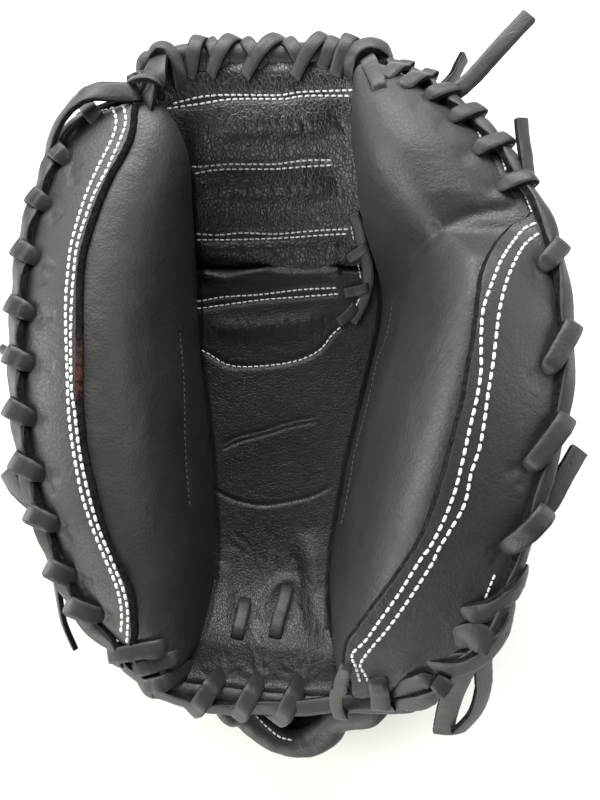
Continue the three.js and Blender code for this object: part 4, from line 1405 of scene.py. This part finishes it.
# The laces at the upper left corner and over the two ends of the web's welt, in rows as above
BRIDGE = [
    [(47, 163, 110, -0.7, 0.2, 0.7, 0.8), (50, 148, 114, -0.6, 0.2, 0.8, 0.85),
     (54, 135, 116, -0.6, 0.3, 0.8, 0.9), (60, 122, 117, -0.5, 0.4, 0.8, 0.95),
     (68, 111, 118, -0.4, 0.5, 0.8, 1.0), (78, 101, 118.5, -0.3, 0.45, 0.9, 1.1),
     (89, 94, 118.5, -0.1, 0.25, 1, 1.15), (103, 91.5, 117.5, 0, 0, 1, 1.2),
     (118, 92, 116, 0, -0.1, 1, 1.2), (130, 92.5, 114, 0.1, -0.1, 1, 1.2),
     (138, 93, 111, 0.2, -0.1, 1, 1.15)],
    [(161, 52, 106, -0.2, 0.4, 0.9, 1.1), (158, 61, 110, -0.3, 0.1, 1, 1.3),
     (155, 71, 111.5, -0.3, 0, 1, 1.6), (153, 82, 111, -0.2, -0.1, 1, 1.85),
     (152, 95, 106, -0.1, -0.3, 1, 1.7)],
    [(126, 92, 107, -0.6, 0.5, 0.6, 0.6), (129, 84, 112, -0.4, 0.6, 0.7, 0.7),
     (137, 79, 115, -0.1, 0.6, 0.8, 0.7), (148, 78, 116, 0.1, 0.6, 0.8, 0.7),
     (157, 82, 115, 0.4, 0.5, 0.8, 0.65), (161, 91, 110, 0.6, 0.3, 0.6, 0.6)],
    [(153, 80, 110, -0.6, -0.2, 0.8, 1.0), (150, 90, 113, -0.7, -0.3, 0.8, 1.2),
     (148, 101, 111, -0.7, -0.4, 0.8, 1.15), (146, 111, 106, -0.6, -0.6, 0.6, 0.9)],
]
TOP_HOODS = [
    [(181, 96, 97, 0.5, -0.5, 0.7, 0.8), (180, 80, 103, 0.5, -0.3, 0.9, 0.95),
     (176, 62, 108, 0.5, 0, 0.9, 0.95), (168, 49, 110, 0.3, 0.4, 0.9, 0.95),
     (158, 47, 110, -0.2, 0.5, 0.9, 0.95), (151, 54, 108, -0.6, 0.3, 0.8, 0.9),
     (148, 66, 102, -0.8, 0, 0.5, 0.8)],
    [(349, 84, 99, -0.5, -0.5, 0.7, 0.7), (349, 70, 105, -0.5, -0.2, 0.9, 0.9),
     (353, 55, 109.5, -0.4, 0.2, 0.9, 1.0), (363, 46, 111, 0, 0.4, 1, 1.1),
     (375, 45, 111, 0.2, 0.4, 1, 1.15), (386, 51, 109, 0.5, 0.2, 0.9, 1.0),
     (390, 60, 104, 0.8, 0, 0.5, 0.9)],
]
TOP_FLAT = [(368, 60), (373, 72), (379, 87)]


def rim_strand(lace, side, ys, size, out):
    """The lace that runs along the rim under the turns, twisting a little between them."""
    stops = []
    for a, b in zip(ys, ys[1:]):
        for share in (0, 0.33, 0.66):
            y = lerp(a, b, share)
            away = lerp(out, -1.6, smoothstep(y, 62, 80)) if side["sign"] > 0 else out
            stops.append((placed(rim_corner(side, y, away, 0.8 if share else 0.2)),
                          Vector((side["sign"] * 0.5, 0, 1.0)), 1.0))
    stops.append((placed(rim_corner(side, ys[-1], -1, 0.2)),
                  Vector((side["sign"] * 0.5, 0, 1)), 1.0))
    turns = len(ys) - 1
    lace.strip(stops, size, thick=1.4,
               twist=lambda t: 0.25 * math.sin(2 * math.pi * t * turns))


def rim_y(side, pixel):
    """How far along the mitt the rim's corner is seen nearest to a pixel."""
    target = Vector(pixel)
    return min(stations(-124, 148, 0.5),
               key=lambda y: (pixel_of(placed(rim_corner(side, y, 1, 1))) - target).length)


# Stitching


class Thread(Strips):
    """Separate stitches of thread.

    A stitch's profile has rows of share of its length, share of its radius, and height. It covers
    a share of the pitch.
    """

    PROFILE = [(0.0, 0.3, -0.9), (0.1, 0.8, -0.1), (0.32, 1.0, 0.3), (0.68, 1.0, 0.3),
               (0.9, 0.8, -0.1), (1.0, 0.3, -0.9)]
    SIDES = 6
    SHARE = 0.87

    def __init__(self, diameter):
        super().__init__()
        self.radius = diameter * MM / 2

    def stitch(self, start, end, normal):
        """One stitch, which rises out of the leather and goes back into it."""
        along = (end - start).normalized()
        across = along.cross(normal).normalized()
        up = across.cross(along)
        for t, wide, high in self.PROFILE:
            middle = start.lerp(end, t) + up * (self.radius * high)
            for k in range(self.SIDES):
                angle = 2 * math.pi * (k + 0.5) / self.SIDES
                self.points.append(middle + across * (self.radius * wide * math.cos(angle))
                                   + up * (self.radius * 0.8 * wide * math.sin(angle)))
        self.close(len(self.PROFILE), self.SIDES)

    def row(self, hits, pitch, dice):
        """Stitches along a line of places with normals, at a pitch in millimetres."""
        lengths = [0.0]
        for a, b in zip(hits, hits[1:]):
            lengths.append(lengths[-1] + (b[0] - a[0]).length)

        def at(length):
            k = 0
            while k < len(lengths) - 2 and lengths[k + 1] < length:
                k += 1
            t = clamp((length - lengths[k]) / max(lengths[k + 1] - lengths[k], 1e-9), 0, 1)
            return (hits[k][0].lerp(hits[k + 1][0], t),
                    hits[k][1].lerp(hits[k + 1][1], t).normalized())

        count = max(1, round(lengths[-1] / (pitch * MM)))
        step = lengths[-1] / count
        for i in range(count):
            middle = (i + 0.5 + dice.uniform(-0.04, 0.04)) * step
            start, normal = at(middle - self.SHARE * step / 2)
            end, _ = at(middle + self.SHARE * step / 2)
            across = (end - start).cross(normal).normalized() * dice.uniform(-0.1, 0.1) * MM
            self.stitch(start + across, end - across, normal)


# Rows of white stitches, as pixels
THUMB_ROWS = [
    [(84, 112), (92, 107), (99, 108), (105, 111), (112, 107)],
    [(112, 107), (116, 117), (116, 127), (111, 142), (97, 170), (87, 193), (78, 220), (71, 247),
     (68, 273), (66, 300), (66, 327), (67, 360), (68, 393), (69, 413), (73, 447), (81, 490),
     (91, 523), (103, 553), (117, 587), (122, 613), (121, 633)],
    [(123, 105), (126, 117), (125, 127), (120, 141), (107, 170), (95, 193), (85, 220), (77, 247),
     (74, 273), (72, 300), (71, 327), (71, 360), (72, 393), (75, 413), (79, 447), (86, 483),
     (97, 523), (110, 556), (123, 588), (128, 613), (127, 643)],
    [(103, 630), (112, 637), (120, 642)],
]
FINGER_ROWS = [
    [(538, 223), (523, 230), (503, 257), (492, 283), (483, 310), (481, 340), (481, 370),
     (477, 397), (470, 427), (465, 450), (458, 480), (453, 497), (443, 522), (430, 547),
     (420, 560), (400, 592), (380, 620), (365, 641), (352, 654), (356, 667), (360, 682)],
    [(540, 233), (523, 247), (508, 277), (500, 307), (496, 337), (493, 363), (488, 393),
     (484, 423), (479, 450), (471, 473), (465, 503), (452, 527), (438, 550), (434, 560),
     (417, 587), (400, 612), (385, 632), (372, 647), (360, 664), (364, 672), (369, 682)],
]
# Short stitches that show under the lace along the upper rim of the finger side
UPPER_RIM_ROWS = [
    [(399, 73), (405, 76)], [(424, 86), (429, 92)], [(447, 100), (454, 113)],
    [(476, 128), (481, 138)], [(502, 158), (506, 171)], [(525, 194), (532, 212)],
    [(495, 574), (490, 586), (485, 599)],
]
# Short stitches between the laces of the web's right edge
WEB_EDGE_ROWS = [[(351, 226), (354, 240)], [(358, 264), (361, 279)], [(360, 298), (356, 306)]]
# The sunken seams of the pads' walls, sewn with dark thread
WALL_ROWS = [
    [(179, 326), (181, 347), (184, 385), (185, 440), (187, 477), (190, 507)],
    [(393, 300), (389, 327), (383, 347), (377, 362), (367, 407), (355, 452), (351, 475),
     (345, 507), (341, 525)],
]
POCKET_ROWS = [
    [(172, 104), (200, 97), (225, 95), (255, 95), (280, 95), (300, 92), (325, 91), (354, 90)],
    [(166, 109), (200, 104), (225, 100), (250, 99), (285, 99), (305, 96), (350, 96)],
    [(191, 167), (207, 166), (225, 164), (250, 164), (275, 164), (290, 162), (310, 160),
     (332, 160)],
    [(194, 174), (215, 170), (250, 169), (275, 169), (300, 167), (332, 165)],
    [(196, 234), (220, 235), (242, 233), (275, 234), (300, 232), (325, 230), (349, 229)],
    [(196, 240), (225, 240), (262, 239), (300, 237), (325, 235), (347, 234)],
    [(196, 302), (225, 297), (257, 295), (290, 291), (312, 289), (337, 288)],
    [(196, 309), (225, 305), (262, 300), (300, 297), (339, 294)],
    [(201, 350), (212, 356), (225, 364), (242, 367), (275, 365), (300, 360), (320, 350),
     (332, 335), (341, 327)],
]
STRAP_ROW = [(255, 715), (267, 727), (280, 737), (293, 740)]

# The double row on the backs: depths below the rim in millimetres
BACK_ROWS = (16, 20)


def back_row(side, depth):
    """The places and normals of a row along the back of a side."""
    hits = []
    for y in stations(-112, 128, 1.5):
        outline = evenly(back_outline(side, y, 40), 1, 600)
        k = next(i for i, p in enumerate(outline) if math.dist(p, outline[0]) > depth)
        (a, za), (b, zb) = outline[k - 1], outline[k + 1]
        normal = Vector((side["sign"] * (za - zb), 0, b - a)).normalized()
        hits.append((placed((side["sign"] * outline[k][0], y, outline[k][1])), normal))
    return hits


# Creases (pixels, depth, width) in millimetres; a ridge has a negative depth.
POCKET_CREASES = [
    *((row, 0.9, 1.8) for row in POCKET_ROWS[:8]), (POCKET_ROWS[8], 0.8, 1.6),
    ([(200, 274), (225, 279), (245, 275), (275, 270), (310, 267), (342, 272)], -2.6, 3.0),
    ([(200, 128), (225, 125), (255, 124), (290, 123), (340, 120)], -3.2, 6.5),
    ([(202, 193), (225, 190), (255, 189), (290, 188), (338, 186)], -3.2, 6.5),
    ([(200, 250), (225, 250), (255, 249), (290, 248), (340, 246)], -1.2, 3.0),
    ([(200, 325), (225, 328), (262, 328), (300, 324), (335, 314)], -1.6, 5.5),
    ([(222, 445), (237, 437), (265, 430), (290, 422), (315, 417)], 0.6, 0.9),
    ([(222, 450), (238, 442), (265, 435), (290, 427), (317, 422)], 0.6, 0.9),
    ([(215, 490), (235, 500), (262, 505), (287, 502), (312, 496), (330, 487)], 0.8, 1.1),
    ([(305, 530), (313, 565), (316, 600), (323, 630), (333, 662)], -2.6, 7),
    ([(292, 545), (297, 575), (298, 612), (306, 640)], 0.8, 3.4),
    ([(327, 630), (334, 645), (340, 660)], -1.2, 3.0),
    ([(222, 560), (226, 590), (224, 630)], -0.8, 3.6),
    ([(260, 630), (266, 602), (277, 584), (292, 581), (301, 592)], -1.1, 3.4),
]
PAD_CREASES = [
    ([(410, 260), (420, 248), (433, 235), (450, 223), (470, 214), (490, 210), (515, 208)],
     1.6, 2.6),
    (WALL_ROWS[0], 0.9, 1.6), (WALL_ROWS[1], 0.9, 1.6),
]

# Wrinkles: a box of pixels, their angle, number and length in pixels, their depth and width
POCKET_WRINKLES = (
    ((200, 108, 345, 124), 90, 40, 12, 0.4, 0.9),
    ((200, 176, 345, 190), 90, 40, 12, 0.4, 0.9),
    ((200, 243, 345, 250), 90, 22, 8, 0.35, 0.9),
    ((205, 313, 335, 340), 80, 20, 14, 0.3, 1.0),
    ((215, 515, 300, 560), 75, 16, 20, 0.25, 0.9),
    ((215, 575, 345, 660), 85, 40, 18, 0.28, 0.9),
)
# Creases wider than this fade out slowly at their ends.
BROAD_CREASE = 3.2
# How deep the small folds beside the lace holes are
PUCKER_DEPTH = 0.6
# The pixel of the dimple where the upper lobe is tied down
LOBE_DIMPLE = (434, 229)


def wrinkle_lines(dice, area, angle, count, length, spread=0.4):
    """Short wavering lines of pixels inside a box, about one direction."""
    x0, y0, x1, y1 = area
    lines = []
    for _ in range(count):
        x, y = dice.uniform(x0, x1), dice.uniform(y0, y1)
        turn = math.radians(angle) + dice.uniform(-spread, spread)
        reach = length * dice.uniform(0.5, 1.3)
        line = []
        for k in range(4):
            line.append((x, y))
            turn += dice.uniform(-0.35, 0.35)
            x += reach / 3 * math.cos(turn)
            y += reach / 3 * math.sin(turn)
        lines.append(line)
    return lines


def pucker(relief, tree, hole, turn, start, reach, width):
    """A small fold that runs out from a lace hole, in a direction of the picture."""
    line = [beside(hole, away, turn) for away in (start, reach * 0.6, reach)]
    relief.line(seen_line(tree, line), PUCKER_DEPTH, width)


# Settings


def colour_setting(name, description, default):
    return FloatVectorProperty(name=name, description=description, subtype="COLOR", size=3,
                               min=0, max=1, default=default)


def millimetres(name, description, default, low, high):
    return FloatProperty(name=name, description=description + ", in millimetres",
                         default=default, min=low, max=high)


class MittFinish(bpy.types.PropertyGroup):
    leather_colour: colour_setting(
        "Leather", "Colour of the rolls, the bands and the back", (0.0205, 0.0202, 0.0192))
    pocket_colour: colour_setting("Pocket", "Colour of the palm and the web",
                                  (0.0072, 0.0072, 0.0070))
    lace_colour: colour_setting("Lace", "Colour of the laces' smooth side",
                                (0.0205, 0.0203, 0.0196))
    # The raw edges' colour is darker than the leather partly as the cut edge's own tone and partly
    # as painted shade for the cut faces in shadow.
    edge_colour_with_painted_shade: colour_setting("Raw edge", "Colour of cut leather edges",
                                (0.0095, 0.0094, 0.0090))
    worn_colour: colour_setting("Worn edge", "Colour where the raw edge is worn",
                                (0.1, 0.042, 0.029))
    thread_colour: colour_setting("Thread", "Colour of the white stitching",
                                  (0.86, 0.86, 0.84))
    dark_thread_colour: colour_setting("Dark thread", "Colour of the sewn-in seams' thread",
                                       (0.05, 0.05, 0.05))


class MittLacing(bpy.types.PropertyGroup):
    width: millimetres("Width", "Width of the lace", 7.4, 3, 12)
    thickness: millimetres("Thickness", "Thickness of the lace", 2.7, 1, 4)


class MittStitching(bpy.types.PropertyGroup):
    band_thread: millimetres("Band thread", "Diameter of the bands' thread", 1.35, 0.3, 2)
    pocket_thread: millimetres("Pocket thread", "Diameter of the pocket's thread", 1.0, 0.3, 2)
    band_pitch: millimetres("Band pitch", "From stitch to stitch on the bands", 3.7, 1, 8)
    pocket_pitch: millimetres("Pocket pitch", "From stitch to stitch in the pocket", 3.3, 1, 8)


class MittStage(bpy.types.PropertyGroup):
    floor_colour: colour_setting("Floor", "Colour of the floor", (0.9, 0.885, 0.86))
    floor_size: FloatProperty(
        name="Floor size", description="Length of the floor's sides", default=6.0, unit="LENGTH")
    window_power: FloatProperty(
        name="Window", description="Power of the largest soft light", default=55,
        unit="POWER")
    sky: FloatProperty(
        name="Sky", description="Strength of the even light from all sides", default=0.12)


# Operators


def piece_named(name):
    piece = bpy.data.objects.get(name)
    if piece is None:
        raise RuntimeError(f"{name} has to be made first")
    return piece


def pieces_named(*names):
    return [piece_named(name) for name in names]


def tree_of_pieces(*names):
    return tree_of(*pieces_named(*names))


def matt_piece(piece, *nodes):
    """Finishes a piece of the rolls, bands, back or welts. Its cut edges, if any, are suede
    darkened with painted shade.
    """
    materials = [material("matt_black_leather")]
    if any(face.material_index for face in piece.data.polygons):
        materials.append(material("raw_edge_suede"))
    finish_piece(piece, materials, nodes)


def new_lace(seed=1):
    lacing = bpy.context.scene.mitt_lacing
    return Lace(lacing.width, lacing.thickness, seed)


def lace_piece(lace, node):
    """Makes the strips of a lace the piece that replaces a node."""
    # The lace's raw sides take the suede that is darkened with painted shade.
    finish_piece(lace.piece(node + "_leather"),
                 [material("rawhide_lace"), material("raw_edge_suede")], [node])


# The soft lights: place and size in metres, share of the window's power, and colour
LIGHTS = (
    ("top_window", (-0.1, 1.3, 1.0), (1.8, 0.8), 1, (1, 1, 1)),
    ("left_window", (-1.35, 0.1, 0.5), (0.8, 1.6), 0.58, (1, 1, 1)),
    ("right_panel", (1.35, 0.2, 0.5), (0.8, 1.4), 0.25, (1, 1, 1)),
    ("front_panel", (-0.65, -1.2, 0.6), (1.2, 0.7), 0.36, (1, 0.96, 0.9)),
)


class MITT_OT_stage(bpy.types.Operator):
    """Set up the floor, the lights and the camera"""

    bl_idname = "mitt.stage"
    bl_label = "Stage"

    def execute(self, context):
        settings = context.scene.mitt_stage
        bpy.ops.object.select_all(action="DESELECT")
        bpy.ops.mesh.primitive_plane_add(size=settings.floor_size, location=(0, 0, -0.0005))
        floor = context.active_object
        floor.name = "floor"
        bpy.ops.object.transform_apply(location=True, rotation=True, scale=True)
        floor.data.materials.append(material("pale_floor"))

        camera = bpy.data.cameras.new("view_from_above")
        camera.sensor_width = 36
        camera.lens = 36 * FOCAL_PIXELS / max(IMAGE_SIZE)
        camera.clip_start, camera.clip_end = 0.01, 20
        eye = bpy.data.objects.new("view_from_above", camera)
        eye.location = EYE
        eye.rotation_mode = "QUATERNION"
        eye.rotation_quaternion = LOOK.to_track_quat("-Z", "Y")
        context.scene.collection.objects.link(eye)
        context.scene.camera = eye

        def area(name, place, size, power, colour):
            light = bpy.data.lights.new(name, "AREA")
            light.shape = "RECTANGLE"
            light.size, light.size_y = size
            light.energy = power
            light.color = colour
            lamp = bpy.data.objects.new(name, light)
            lamp.location = place
            lamp.rotation_mode = "QUATERNION"
            lamp.rotation_quaternion = (-Vector(place)).to_track_quat("-Z", "Y")
            context.scene.collection.objects.link(lamp)

        for name, place, size, share, colour in LIGHTS:
            area(name, place, size, share * settings.window_power, colour)
        world = bpy.data.worlds.new("even_light")
        world.use_nodes = True
        background = world.node_tree.nodes["Background"]
        background.inputs["Color"].default_value = (1, 1, 1, 1)
        background.inputs["Strength"].default_value = settings.sky
        context.scene.world = world
        context.scene.view_settings.view_transform = "Standard"
        return {"FINISHED"}


class MITT_OT_pads(bpy.types.Operator):
    """Make the two padded rolls"""

    bl_idname = "mitt.pads"
    bl_label = "Padded rolls"

    def execute(self, context):
        thumb = make_pad("thumb_pad_leather", THUMB_SIDE)
        finger = make_pad("finger_pad_leather", FINGER_SIDE)
        rim = make_lobe_rim("finger_lobe_rim", FINGER_SIDE, LOBE_START, WEB_END - 4)
        matt_piece(rim)
        for pad, node in ((thumb, "thumb_pad"), (finger, "finger_pad")):
            matt_piece(pad, node)
        return {"FINISHED"}


class MITT_OT_bands(bpy.types.Operator):
    """Make the leather bands over the rolls"""

    bl_idname = "mitt.bands"
    bl_label = "Bands"

    def execute(self, context):
        for side, end, node in (
            (THUMB_SIDE, THUMB_BAND_END, "thumb_band"),
            (FINGER_SIDE, FINGER_BAND_END, "finger_band"),
        ):
            matt_piece(make_band(node + "_leather", side, end), node)
        return {"FINISHED"}


class MITT_OT_pocket(bpy.types.Operator):
    """Make the palm and the web"""

    bl_idname = "mitt.pocket"
    bl_label = "Palm and web"

    def execute(self, context):
        for node, start, end, finish in (
            ("palm_panel", HEEL_END - PANEL_OVERRUN, WEB_FOLD - GAP / 2,
             "glossy_palm_leather"),
            ("web_panel", WEB_FOLD + GAP / 2, WEB_END + PANEL_OVERRUN, "glossy_web_leather"),
        ):
            panel = make_panel(node + "_leather", start, end)
            finish_piece(panel, [material(finish)], [node])
        return {"FINISHED"}


class MITT_OT_back(bpy.types.Operator):
    """Make the back of the mitt and the wrist strap"""

    bl_idname = "mitt.back"
    bl_label = "Back and strap"

    def execute(self, context):
        matt_piece(make_back("thumb_back_leather", THUMB_SIDE, THUMB_PAD_END), "thumb_back")
        matt_piece(make_back("finger_back_leather", FINGER_SIDE, WEB_END), "finger_back")
        matt_piece(make_strap("wrist_strap_leather"), "wrist_strap")
        matt_piece(make_lip("strap_lip_leather"), "wrist_strap")
        return {"FINISHED"}


class MITT_OT_welts(bpy.types.Operator):
    """Make the rolled welts of the web and the heel"""

    bl_idname = "mitt.welts"
    bl_label = "Welts"

    def execute(self, context):
        for node, roll in (("top_roll", TOP_ROLL), ("heel_roll", HEEL_ROLL)):
            matt_piece(make_roll(node + "_leather", roll), node)
        return {"FINISHED"}


class MITT_OT_creases(bpy.types.Operator):
    """Press the creases, the wrinkles and the puckers at the lace holes"""

    bl_idname = "mitt.creases"
    bl_label = "Creases"

    def execute(self, context):
        dice = random.Random(11)
        panels = pieces_named("palm_panel_leather", "web_panel_leather")
        tree = tree_of(*panels)
        relief = Relief()
        for pixels, depth, width in POCKET_CREASES:
            faded = 0.25 if width > BROAD_CREASE else 0.06
            relief.line(seen_line(tree, pixels), depth, width, faded)
        for area, angle, count, length, depth, width in POCKET_WRINKLES:
            for line in wrinkle_lines(dice, area, angle, count, length):
                relief.line(seen_line(tree, line), depth, width)
        for hole, _ in HEEL_WRAPS[CORNER_WRAPS:]:
            relief.line([seen(tree, hole)[0]], depth=1.6, width=3.0)
            for k in range(7):
                turn = math.radians(lerp(-165, -25, k / 6) + dice.uniform(-8, 8))
                pucker(relief, tree, hole, turn, 4, dice.uniform(16, 30), width=1.4)
        for panel in panels:
            relief.press(panel)

        pads = pieces_named("thumb_pad_leather", "finger_pad_leather")
        bands = pieces_named("thumb_band_leather", "finger_band_leather")
        tree = tree_of(*pads, *bands)
        relief = Relief()
        bare = tree_of(*pads)
        for pixels, depth, width in PAD_CREASES:
            relief.line(seen_line(bare, pixels), depth, width, faded=0.08)
        relief.line([seen(bare, LOBE_DIMPLE)[0]], depth=1.3, width=2.2)
        for hole, brow in (*THUMB_WRAPS, *FINGER_WRAPS):
            relief.line([seen(tree, hole)[0]], depth=0.9, width=3.2)
            inward = (Vector(hole) - Vector(brow)).normalized()
            for k in (-0.25, 0.5):
                turn = math.atan2(inward.y, inward.x) + k + dice.uniform(-0.2, 0.2)
                pucker(relief, tree, hole, turn, 3, dice.uniform(16, 26), width=2.2)
        for piece in (*pads, *bands):
            relief.press(piece)
        return {"FINISHED"}


class MITT_OT_rim_laces(bpy.types.Operator):
    """Lace the rims of the two rolls"""

    bl_idname = "mitt.rim_laces"
    bl_label = "Rim laces"

    def execute(self, context):
        # Side, its turns, free ends and knots, node, the turns' and the strand's widths, how far
        # out the strand lies, and the pieces beneath
        for side, wraps, tails, loops, node, size, strand_size, out, names in (
            (THUMB_SIDE, THUMB_WRAPS, THUMB_TAILS, KNOT_TURNS, "thumb_rim_lace", 1.05, 0.92, 0.7,
             ("thumb_band_leather", "thumb_pad_leather", "thumb_back_leather")),
            (FINGER_SIDE, FINGER_WRAPS, FINGER_TAILS, HEEL_TURNS, "finger_rim_lace", 0.95, 0.78,
             -0.2, ("finger_band_leather", "finger_pad_leather", "finger_lobe_rim",
                    "finger_back_leather")),
        ):
            lace = new_lace()
            ys = sorted(rim_y(side, brow) for _, brow in wraps)
            rim_strand(lace, side, [STRAND_START, *ys], strand_size, out)
            tree = tree_of_pieces(*names)
            for hole, brow in wraps:
                upper = side["sign"] > 0 and hole[1] < UPPER_RIM_PIXEL
                lace.turn(tree, side, hole, brow, size=size * (1.0 if upper else 1.1),
                          tilt=0.4 if upper else 0.0, clear=3.1 if upper else 3.7)
            for start, points, face, wide in tails:
                lace.tail(side, start, points, face, wide)
            for stops in loops:
                lace.knot(stops)
            lace_piece(lace, node)
        return {"FINISHED"}


class MITT_OT_winding_laces(bpy.types.Operator):
    """Wind the laces over the welts"""

    bl_idname = "mitt.winding_laces"
    bl_label = "Winding laces"

    def execute(self, context):
        tree = tree_of_pieces("top_roll_leather", "web_panel_leather",
                              "thumb_pad_leather", "finger_pad_leather")
        lace = new_lace(3)
        for hole, brow in TOP_UNDER:
            lace.wind(tree, TOP_ROLL, hole, brow, size=0.95, clear=0.5)
        for hole, brow in TOP_WRAPS:
            lace.wind(tree, TOP_ROLL, hole, brow, size=0.95, clear=1.9)
        for stops in TOP_HOODS:
            lace.knot(stops, thick=1.15)
        lace.lay(tree, TOP_FLAT, size=0.95, lift=1.4, dives="end")
        lace_piece(lace, "web_top_lace")

        tree = tree_of_pieces("heel_roll_leather", "palm_panel_leather", "thumb_pad_leather",
                              "finger_pad_leather", "thumb_band_leather", "finger_band_leather")
        lace = new_lace(4)
        lace.lay(tree, HEEL_STRAND, size=0.95, lift=0.8)
        laced = lace.tree_with("heel_roll_leather", "palm_panel_leather", "finger_pad_leather",
                               "finger_band_leather")
        for pixels, size in HEEL_STRAPS:
            lace.lay(laced, pixels, size, lift=1.9, dives="start end")
        for hole, brow in HEEL_WRAPS[:CORNER_WRAPS]:
            lace.turn(tree, THUMB_SIDE, hole, brow, size=0.98, tilt=0, clear=3.8)
        for hole, brow in HEEL_WRAPS[CORNER_WRAPS:]:
            lace.wind(tree, HEEL_ROLL, hole, brow, size=1.2, clear=3.9)
        lace_piece(lace, "heel_lace")
        return {"FINISHED"}


class MITT_OT_pocket_laces(bpy.types.Operator):
    """Lace the corner, the web's edge and the heel's two loops"""

    bl_idname = "mitt.pocket_laces"
    bl_label = "Corner and pocket laces"

    def execute(self, context):
        lace = new_lace(5)
        for stops in BRIDGE:
            lace.knot(stops)
        lace_piece(lace, "bridge_lace")

        lace = new_lace(6)
        around = ("palm_panel_leather", "web_panel_leather", "finger_pad_leather")
        lace.lay(tree_of_pieces(*around), WEB_EDGE_STRAND, size=0.95, lift=0.8,
                 dives="start end", thick=0.9, face=(-0.4, -0.3, 0.85))
        tree = lace.tree_with(*around)
        for pixels in WEB_EDGE_TURNS:
            lace.lay(tree, pixels, size=0.8, lift=0.7, dives="start end", arch=0.6, thick=0.7,
                     face=(-0.2, -0.45, 0.85))
        lace_piece(lace, "web_edge_lace")

        tree = tree_of(piece_named("palm_panel_leather"))
        for number, pixels in enumerate(HEEL_LOOPS, 1):
            lace = new_lace(7 + number)
            lace.lay(tree, pixels, size=0.95, lift=1.2, dives="start end", arch=1.6)
            lace_piece(lace, f"heel_loop_{number}")
        return {"FINISHED"}


class MITT_OT_stitching(bpy.types.Operator):
    """Sew the rows of white stitches"""

    bl_idname = "mitt.stitching"
    bl_label = "Stitching"

    def execute(self, context):
        sewing = context.scene.mitt_stitching
        dice = random.Random(7)
        # Name, pieces beneath, rows, pitch, diameter, slot and, if it isn't white, the thread
        for name, pieces, rows, pitch, thick, slot, *colour in (
            ("thumb_band_stitches", ["thumb_band_leather"], THUMB_ROWS, sewing.band_pitch,
             sewing.band_thread, "matt_leather"),
            ("finger_band_stitches", ["finger_band_leather"], FINGER_ROWS, sewing.band_pitch,
             sewing.band_thread * 0.97, "matt_leather"),
            ("wall_stitches", ["thumb_pad_leather", "finger_pad_leather"], WALL_ROWS, 3.2,
             0.8, "matt_leather", "black_thread"),
            ("upper_rim_stitches", ["finger_pad_leather", "finger_lobe_rim",
                                    "finger_band_leather"], UPPER_RIM_ROWS, 2.6,
             sewing.pocket_thread, "matt_leather"),
            ("pocket_stitches", ["palm_panel_leather", "web_panel_leather"], POCKET_ROWS,
             sewing.pocket_pitch, sewing.pocket_thread, "pocket_leather"),
            ("web_edge_stitches", ["web_edge_lace_leather", "palm_panel_leather",
                                   "web_panel_leather", "finger_pad_leather"],
             WEB_EDGE_ROWS, 2.6, 0.8, "pocket_leather"),
            ("strap_stitches", ["strap_lip_leather"], [STRAP_ROW], sewing.pocket_pitch,
             sewing.pocket_thread, "matt_leather"),
        ):
            tree = tree_of_pieces(*pieces)
            thread = Thread(thick)
            for row in rows:
                thread.row(hits_along(tree, row), pitch, dice)
            finish_piece(thread.piece(name), [material(*(colour or ["white_thread"]))])
        thread = Thread(sewing.pocket_thread)
        for side in (THUMB_SIDE, FINGER_SIDE):
            for depth in BACK_ROWS:
                thread.row(back_row(side, depth), sewing.band_pitch, dice)
        finish_piece(thread.piece("back_stitches"), [material("white_thread")])
        return {"FINISHED"}


class MITT_PT_panel(bpy.types.Panel):
    """The mitt's settings and steps"""

    bl_idname = "MITT_PT_panel"
    bl_label = "Catcher's Mitt"
    bl_space_type = "VIEW_3D"
    bl_region_type = "UI"
    bl_category = "Mitt"

    def draw(self, context):
        for name in SETTINGS:
            group = getattr(context.scene, name)
            box = self.layout.box()
            for setting in group.__annotations__:
                box.prop(group, setting)
        for step in STEPS:
            self.layout.operator(step.bl_idname)


SETTINGS = {"mitt_finish": MittFinish, "mitt_lacing": MittLacing,
            "mitt_stitching": MittStitching, "mitt_stage": MittStage}
STEPS = (MITT_OT_stage, MITT_OT_pads, MITT_OT_bands, MITT_OT_pocket, MITT_OT_creases,
         MITT_OT_back, MITT_OT_welts, MITT_OT_rim_laces, MITT_OT_winding_laces,
         MITT_OT_pocket_laces, MITT_OT_stitching)


def register():
    for kind in (*SETTINGS.values(), *STEPS, MITT_PT_panel):
        bpy.utils.register_class(kind)
    for name, kind in SETTINGS.items():
        setattr(bpy.types.Scene, name, PointerProperty(type=kind))


def unregister():
    for name in SETTINGS:
        delattr(bpy.types.Scene, name)
    for kind in reversed((*SETTINGS.values(), *STEPS, MITT_PT_panel)):
        bpy.utils.unregister_class(kind)


def main():
    register()
    bpy.ops.object.select_all(action="DESELECT")
    bpy.ops.mitt.stage()
    bpy.ops.mitt.pads()
    bpy.ops.mitt.bands()
    bpy.ops.mitt.pocket()
    bpy.ops.mitt.creases()
    bpy.ops.mitt.back()
    bpy.ops.mitt.welts()
    bpy.ops.mitt.rim_laces()
    bpy.ops.mitt.winding_laces()
    bpy.ops.mitt.pocket_laces()
    bpy.ops.mitt.stitching()


if __name__ == "__main__":
    main()
